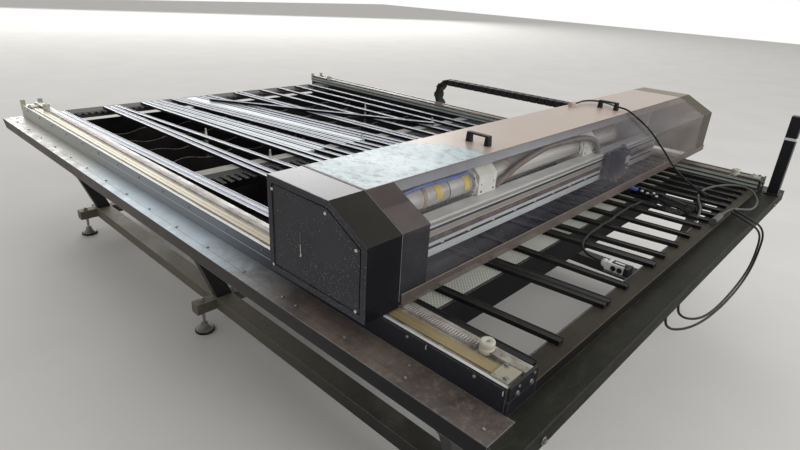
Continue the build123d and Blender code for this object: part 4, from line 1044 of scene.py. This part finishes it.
def make_tube_parts():
    """Core, rings, end fittings, leads and water pipes of the laser tube, and the corrugated hose."""
    kit = Kit()
    kit.lathe("inside_white", (LASER_START, LASER_Y, LASER_Z), RIGHT, [
        (14, 4), (18, 8), (18, 1630), (14, 1634)], 32)
    for x, width, dia, mat in (
            (-1003, 32, 88, "tube_ring"), (-850, 18, 89, "tube_ring"), (-715, 3, 88, "groove_dark"),
            (-960, 3, 88, "groove_dark"), (-330, 12, 88, "tube_ring"), (606, 36, 88, "tube_ring")):
        r = dia / 2
        kit.lathe(mat, (x, LASER_Y, LASER_Z), RIGHT, [
            (r - 1.5, 0), (r, 1), (r, width - 1), (r - 1.5, width)], 40)
    kit.lathe("brass", (646, LASER_Y, LASER_Z), RIGHT, [(30, 0), (33, 3), (33, 26), (24, 32), (24, 50)], 32)
    kit.lathe("lead_orange", (668, LASER_Y - 6, LASER_Z + 32), (0, -0.3, 1), [
        (9, 0), (9, 26), (6, 30), (6, 42)], 20)
    kit.lathe("brass", (-1034, LASER_Y, LASER_Z), RIGHT, [(24, 0), (24, 18), (32, 22), (32, 34)], 32)
    turns = [math.radians(a) for a in range(120, 200, 10)]
    outer, inner = (
        [(LASER_Y + r * math.cos(a), LASER_Z + r * math.sin(a)) for a in turns] for r in (44, 42.6))
    for x0, x1 in ((-789, -757), (-634, -605)):
        kit.prism("tag_yellow", outer + inner[::-1], x0, x1)
    kit.tube("lead_red", RED_LEAD, 7)
    kit.tube("hose_blue", WATER_HOSE, 13)
    kit.lathe("milky", (-611, -1152, 1049), UP, [(10, 0), (10, 6), (8, 8), (8, 12)], 16)
    kit.tube("milky", WATER_PIPE, 10)
    kit.tube("hose_brown", HOSE_IN_HOOD, 26, 16, 12, (7, 2.2))
    kit.lathe("cable_black", (392, -1150, 904), DOWN, [(15, 0), (16, 2), (16, 22), (12, 26), (12, 44)])
    kit.lathe("cable_black", (-432, -1125, 912), DOWN, [(15, 0), (16, 2), (16, 30), (12, 34), (12, 52)])
    kit.done("tube_parts", "gantry", "support_white")


def make_support_trim():
    """Rims, bolts and feet on the tube's two clamp blocks."""
    kit = Kit()
    half, rim, bolt_circle, block_front, base_top = 55, 7, 52, LASER_Y - 62, 872
    for x in (-520, 300):
        for face, way in ((x - half, -1), (x + half, 1)):
            kit.lathe("inside_white", (face, LASER_Y, LASER_Z), (way, 0, 0), [
                (58, 0), (59, 1.5), (59, 5), (57, rim), (47, rim), (45, 5), (44, 0)], 8, True)
            for k in range(6):
                a = math.radians(60 * k + 30)
                y, z = LASER_Y + bolt_circle * math.cos(a), LASER_Z + bolt_circle * math.sin(a)
                kit.screw("screw", (face + rim * way, y, z), (way, 0, 0), 7, 2.5)
        for dx in (-38, 38):
            kit.screw("screw", (x + dx, block_front, 985), FRONT, 9, 3)
            kit.screw("groove_dark", (x + dx, block_front, 1012), FRONT, 6, 1)
        kit.box("milky", x - 60, x + 60, -1194.5, -1092, 860.3, base_top)
        for dx in (-52, 52):
            kit.screw("screw", (x + dx, -1104, base_top), UP, 10, 4)
    kit.done("support_trim", "gantry", "support_white")


def make_beam_trim():
    """Bright and dull lines along the beam's front, its end screws and joint marks."""
    kit = Kit()
    reach, skin, rib_y = 1044, -1250.15, -1246.5
    for mat, z0, z1 in (("beam_light", 962, 969.4), ("beam_light", 943.2, 948), ("beam_brown", 949.5, 961),
                        ("beam_brown", 914, 931.8), ("beam_light", 879, 896), ("beam_light", 841, 866)):
        kit.box(mat, -reach, reach, skin, skin + 0.25, z0, z1)
    for x in range(-960, 1000, 150):
        kit.box("beam_light", x, x + 14, rib_y, rib_y + 4.5, 869.4, 875.6)
    for x in range(-1020, 1030, 120):
        kit.screw("screw", (x, -1260, 905), FRONT, 7, 2)
    kit.done("beam_trim", "gantry", "beam_silver")


def make_connector():
    """Multi-pole connector: pale housing, dark insert and end, side knobs and a round tail."""
    kit = Kit()
    x, y0, y1, z0, z1 = -368, -1730, -1646, BED_TOP + 0.2, BED_TOP + 30
    kit.prism("plug_white", [
        (y0 + 16, z0), (y1 - 3, z0), (y1, z0 + 4), (y1, z1 - 6), (y1 - 8, z1), (y0 + 16, z1)], x - 21, x + 21)
    kit.box("cable_black", x - 23, x + 23, y0, y0 + 15.6, z0, z1 - 2)
    kit.box("cable_black", x - 15, x + 15, y0 + 14, y1 - 20, z1 - 6, z1 + 0.8)
    kit.box("plug_white", x - 5, x + 5, y0 + 22, y1 - 28, z1, z1 + 1.6)
    for y in (y0 + 30, y0 + 52):
        for side in (-1, 1):
            kit.lathe("cable_black", (x + side * 20.5, y, 799), (side, 0, 0), [
                (9, 0), (9.5, 1), (9.5, 3), (6, 4), (6, 2), (0, 2)])
    kit.lathe("plug_white", (x, y1 - 1, 800), BACK, [
        (12, 0), (15, 3), (15.5, 9), (14, 15), (10, 19), (6.5, 20), (6.5, 21)], 32)
    kit.lathe("cable_black", (x, y1 + 18, 800), BACK, [(7, 0), (7, 2), (5, 2.6)])
    return kit.done("connector_body", "table", "plug_white", 0.8, ("slat_connector",))


def make_head():
    """Screws and a pad on the carriage plate, and a bright plate, an air inlet and a gland on the head."""
    kit = Kit()
    x, front = HEAD_X, -1272.3
    for dx in (-70, -30, 30, 70):
        for z in (891, 919):
            kit.screw("screw", (x + dx, front - 0.1, z), FRONT, 7, 2.4)
    for dx in (-72, 72):
        for z in (856, 970):
            kit.screw("screw", (x + dx, front - 0.1, z), FRONT, 9, 3)
    kit.box("head_slate", x - 46, x + 46, front - 8, front, 946, 978)
    kit.done("carriage_screws", "head", "beam_silver")
    kit = Kit()
    front = -1334.9
    kit.box("beam_light", x - 22, x + 22, front - 1.5, front + 6, 930, 966)
    kit.lathe("brass", (x, front + 3, 905), FRONT, [(9, 0), (9, 5), (6, 6), (6, 14), (4, 15)])
    for dx in (-26, 26):
        kit.screw("screw", (x + dx, front + 12, 990), UP, 8, 3)
    kit.lathe("cable_black", (x, -1304, 989.5), UP, [(18, 0), (18, 6), (12, 8), (12, 20), (8, 24)])
    kit.done("head_parts", "focus", "black_steel")


def cap_outline(inset):
    """The near cap's outline from the side, the same distance in all round."""
    foot, brow = 830, 1058
    corners = [(ROOF_BACK, foot), (ROOF_BACK, ROOF), (ROOF_FRONT, ROOF), (COVER_FRONT, brow),
               (COVER_FRONT, foot)]
    out = []
    for k, here in enumerate(corners):
        lines = []
        for a, b in ((corners[k - 1], here), (here, corners[(k + 1) % len(corners)])):
            run = math.hypot(b[0] - a[0], b[1] - a[1])
            across = ((b[1] - a[1]) / run, -(b[0] - a[0]) / run)
            lines.append((across, across[0] * a[0] + across[1] * a[1] - inset))
        (n1, d1), (n2, d2) = lines
        det = n1[0] * n2[1] - n1[1] * n2[0]
        out.append(((d1 * n2[1] - d2 * n1[1]) / det, (n1[0] * d2 - n2[0] * d1) / det))
    return out


def make_hood_details():
    """The gap round the near cap's panel, seams across the hood, and strips along the cover's foot."""
    kit = Kit()
    # A thin frame in painted black shade stands for the open gap.
    kit.frame("gap_black", cap_outline(21.4), cap_outline(23.6), CAP_SIDE - 0.4, CAP_SIDE + 2.1)
    kit.box("seam_brown", -1172, -1163, ROOF_FRONT, -964, ROOF - 0.2, ROOF + 0.9)
    kit.box("seam_brown", 1356.5, 1361, ROOF_FRONT, -964, ROOF - 0.2, ROOF + 0.6)
    kit.box("strip_rose", COVER_LEFT, -1049.8, -1394, -1391.4, 831, 862)
    kit.box("strip_rose", COVER_LEFT, COVER_RIGHT, -1391.4, -1390.3, 861.5, 869)
    kit.box("strip_tan", COVER_LEFT, COVER_RIGHT, -1392.2, -1390.3, 869, 871.5)
    kit.done("hood_seams", "gantry", "hood_black")


def make_studs():
    """Levelling studs that stand up between the slats."""
    kit = Kit()
    for x in (-560, 94, 748):
        kit.lathe("zinc", (x, 116, BED_TOP), UP, [
            (11, 0), (11, 5), (6.5, 6), (6.5, 26), (5, 30), (5, 42), (3.5, 45), (0, 45)], 16)
        kit.lathe("zinc", (x, 780, 602), UP, [
            (8, 0), (8, 176), (5.5, 178), (5.5, 196), (3, 204), (0, 204)], 16)
    kit.done("bed_studs", "table", "zinc")


def make_flat_bars():
    """Flat bars that lie on the cross strips between some of the back slats, pale blue-grey as a painted
    reflection.
    """
    kit = Kit()
    rows = ((-291, -503), (-180, -463), (-100, -415), (16, -320), (82, -284), (159, -250), (225, -130))
    row_front, row_length, half = -900, 2590, 16.5
    for left, right in zip(rows, rows[1:]):
        if left == (-100, -415):
            continue
        sides = []
        for (start, end), way in ((left, 1), (right, -1)):
            for y in (70, 1688):
                sides.append((start + (end - start) * (y - row_front) / row_length + way * half, y))
        kit.sheet("flat_pale", (sides[0], sides[1], sides[3], sides[2]), BED_TOP, BED_TOP + 11.5)
    kit.done("flat_bars", "table", "slat_black", 0.8)


def make_harness():
    """Thin wires of the drag harness, loosely bundled on the slats, with small connectors."""
    kit = Kit()
    shake = random.Random(5)
    for k in range(30):
        side = shake.uniform(-64, 64)
        path = []
        for step in range(8):
            t = step / 7
            x = 505 - 72 * t + side * (0.3 + 0.9 * t) + shake.uniform(-10, 10)
            y = -1338 - 345 * t + shake.uniform(-8, 8)
            path.append((x, y, 803.5 + 3.2 * (k % 4) + shake.uniform(-0.4, 1.4)))
        kit.tube("cable_black", path, shake.choice((4, 5, 6, 7)), 8, 6)
    for k in range(12):
        x0, y0 = 436 - 4 * k, -1556 - shake.uniform(0, 50)
        path = (
            (x0 + 50, y0 + 55, 806), (x0 + 10, y0 + 20 + shake.uniform(-12, 12), 808),
            (x0 - 38, y0 + shake.uniform(-20, 20), 806), (x0 - 72, y0 - 32 + shake.uniform(-14, 14), 807),
            (x0 - 60, y0 - 66, 806), (x0 - 10, y0 - 76 + shake.uniform(-8, 8), 808),
        )
        kit.tube("cable_black", path, shake.choice((4, 5)), 8, 7)
    for x, y in ((474, -1368), (458, -1396)):
        kit.box("lead_blue", x - 14, x + 14, y - 22, y + 22, 817, 827)
    for x, y in ((462, -1440), (448, -1470), (470, -1492), (438, -1516)):
        kit.box("plug_white", x - 6, x + 6, y - 5, y + 5, 817, 824)
    for x, y in ((486, -1455), (430, -1490), (478, -1525)):
        kit.box("cable_black", x - 12, x + 12, y - 9, y + 9, 815, 826)
    return kit.done("harness_wires", "table", "cable_black", 0.8)


def make_drips():
    """A dried drip and small paint marks on the near cap's panel."""
    kit = Kit()
    face = -1297.0
    kit.tube("edge_grey", ((face, -1115, 1006), (face, -1115.6, 985), (face, -1115.2, 962)), 1.2, 8, 4)
    kit.tube("plug_white", ((face, -1115.4, 966), (face, -1116, 950), (face, -1117, 936)), 2.2, 8, 4)
    kit.tube("plug_white", ((face, -1117, 937), (face, -1117, 932), (face, -1115, 929)), 4.4, 10, 4)
    for k in range(9):
        y, z = draw.uniform(-1330, -1010), draw.uniform(870, 1070)
        if y < -1250 and z > 1020:
            continue
        r = draw.uniform(0.9, 1.7)
        kit.lathe("clamp_cream", (face + 0.4, y, z), LEFT, [(r, 0), (r * 0.7, 0.5), (0, 0.6)], 8)
    kit.done("panel_marks", "gantry", "hood_black")


soften("tube_supports", bevel=1.5, regions=[(anywhere, "milky")])
soften("head_carriage", regions=[(anywhere, "head_slate")])
soften("focus_slide", regions=[(anywhere, "head_slate")], angle=40)
soften("hood_handles", bevel=2.0, segments=3)
make_support_trim()
make_beam_trim()
CONNECTOR = make_connector()
make_head()
make_hood_details()
make_studs()
make_flat_bars()
HARNESS = make_harness()
make_tube_parts()
make_rail_strips()
make_belts()
make_stops()
make_feet()
make_table_details()
make_hood_screws()
make_drips()


# Free cords: each route repeats the points of its solid, as a NURBS line's control points
def make_cord(name, node, body, points, dia=0.009, material="cable_black"):
    """A cord in place of its solid, on its body."""
    places = [tuple(round(v, 6) for v in at(*point)) for point in points]
    curve = bpy.data.curves.new(name, "CURVE")
    curve.dimensions = "3D"
    curve.resolution_u = 8
    curve.bevel_depth = dia / 2
    curve.bevel_resolution = 5
    curve.use_fill_caps = True
    spline = curve.splines.new("NURBS")
    spline.points.add(len(points) - 1)
    for point, place in zip(spline.points, places):
        point.co = (*place, 1.0)
    spline.order_u = 3
    spline.use_endpoint_u = True
    curve.materials.append(MAT[material])
    obj = bpy.data.objects.new(name, curve)
    scene.collection.objects.link(obj)
    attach(obj, body)
    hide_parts(node)
    line = obj.copy()
    line.data = curve.copy()
    line.data.bevel_depth = 0
    line.data.use_fill_caps = False
    mesh = bpy.data.meshes.new_from_object(line)
    bpy.data.objects.remove(line)


# The third number of the hood cable's places is the height over the hood's roof.
HOOD_CABLE = (
    (505, -1000, 12), (550, -1000, 12), (600, -992, 12), (648, -996, 12), (684, -1022, 12), (698, -1058, 12),
    (684, -1098, 12), (656, -1138, 12), (632, -1182, 12), (614, -1228, 12), (604, -1272, -6),
    (600, -1316, -29), (590, -1360, -53), (564, -1408, -81), (560, -1440, -112), (582, -1466, -148),
    (614, -1486, -190), (640, -1514, -230), (648, -1556, -264), (638, -1602, -284), (620, -1646, -298),
)
HANGING_A = (
    (560, -1806, 806), (572, -1868, 778), (600, -1915, 752), (655, -1932, 700), (680, -1932, 620),
    (650, -1932, 555), (560, -1932, 528), (440, -1932, 520), (310, -1932, 522), (190, -1932, 532),
    (80, -1932, 548), (-20, -1926, 562), (-84, -1908, 570), (-132, -1880, 584), (-160, -1858, 618),
    (-160, -1858, 678),
)
HANGING_B = (
    (600, -1806, 806), (622, -1872, 778), (662, -1918, 746), (710, -1936, 690), (724, -1936, 610),
    (690, -1936, 540), (600, -1936, 508), (480, -1936, 498), (350, -1936, 502), (220, -1936, 514),
    (90, -1934, 532), (-30, -1930, 550), (-130, -1918, 564), (-200, -1900, 574), (-254, -1874, 586),
    (-282, -1856, 620), (-282, -1856, 678),
)
COIL = (
    (480, -1784, 799.2), (540, -1784, 799.2), (620, -1797, 801), (700, -1828, 786), (790, -1846, 768),
    (880, -1846, 766), (956, -1832, 778), (1000, -1784, 806), (990, -1716, 812), (910, -1662, 812),
    (810, -1632, 812), (700, -1626, 812), (600, -1650, 812), (520, -1684, 812), (440, -1712, 812),
    (340, -1730, 812),
)
CONNECTOR_CABLE = (
    (-368, -1626, 800), (-368, -1588, 800), (-340, -1540, 804), (-285, -1510, 808), (-200, -1495, 811),
    (-100, -1490, 812), (20, -1490, 812), (130, -1480, 812), (240, -1480, 812), (340, -1490, 812),
)
BUNDLE = (
    (505, -1340, 811.3), (500, -1420, 811.3), (486, -1500, 811.3), (466, -1580, 811.3), (440, -1650, 811.3),
)
make_cord("hood_lead", "hood_cable", "gantry", [(x, y, ROOF + rise) for x, y, rise in HOOD_CABLE])
make_cord("drooping_cable_a", "hanging_cable_a", "table", HANGING_A)
make_cord("drooping_cable_b", "hanging_cable_b", "table", HANGING_B)
make_cord("looped_cable", "coiled_cable", "table", COIL, 0.010,
          "cable_grey")
make_cord("connector_lead", "connector_cable", "table", CONNECTOR_CABLE)
make_cord("cable_harness", "cable_bundle", "table", BUNDLE, 0.022)


# Floor and light
def make_floor():
    """A plain pale floor for the pictures, which isn't part of the object."""
    mesh = bpy.data.meshes.new("floor")
    size = 30.0
    corners = [(-size, -size, 0), (size, -size, 0), (size, size, 0), (-size, size, 0)]
    mesh.from_pydata(corners, [], [(0, 1, 2, 3)])
    floor = bpy.data.objects.new("floor", mesh)
    scene.collection.objects.link(floor)
    p = Paint("floor")
    p.finish(p.tones(p.noise(1.5, 3.0, 0.5), (216, 214, 210), (221, 219, 215)), 0.9, shine=0.0)
    mesh.materials.append(MAT["floor"])


def make_world():
    """White surroundings, dimmer as light than as what the camera and reflections see."""
    world = bpy.data.worlds.new("world")
    scene.world = world
    world.use_nodes = True
    tree = world.node_tree
    tree.nodes.clear()
    rays = tree.nodes.new("ShaderNodeLightPath")
    seen = rays.outputs["Is Camera Ray"]
    for kind in ("Is Glossy Ray", "Is Transmission Ray"):
        either = tree.nodes.new("ShaderNodeMath")
        either.operation = "MAXIMUM"
        tree.links.new(seen, either.inputs[0])
        tree.links.new(rays.outputs[kind], either.inputs[1])
        seen = either.outputs[0]
    level = tree.nodes.new("ShaderNodeMapRange")
    level.inputs["To Min"].default_value = 0.62
    level.inputs["To Max"].default_value = 1.0
    tree.links.new(seen, level.inputs["Value"])
    back = tree.nodes.new("ShaderNodeBackground")
    back.inputs["Color"].default_value = (1, 1, 1, 1)
    tree.links.new(level.outputs[0], back.inputs["Strength"])
    out = tree.nodes.new("ShaderNodeOutputWorld")
    tree.links.new(back.outputs[0], out.inputs[0])


def area_light(name, place, target, size, power):
    data = bpy.data.lights.new(name, "AREA")
    data.shape = "RECTANGLE"
    data.size, data.size_y = size
    data.energy = power
    light = bpy.data.objects.new(name, data)
    light.location = place
    light.rotation_mode = "QUATERNION"
    light.rotation_quaternion = (Vector(target) - Vector(place)).to_track_quat("-Z", "Y")
    light.visible_camera = False
    scene.collection.objects.link(light)


make_floor()
make_world()
area_light("windows", (8.2, 20.4, 6.3), (-0.1, -0.4, 0.9), (27.0, 9.0), 3000)
area_light("fill", (1.5, -8.5, 4.2), (0, -1.2, 0.9), (7.0, 4.0), 320)
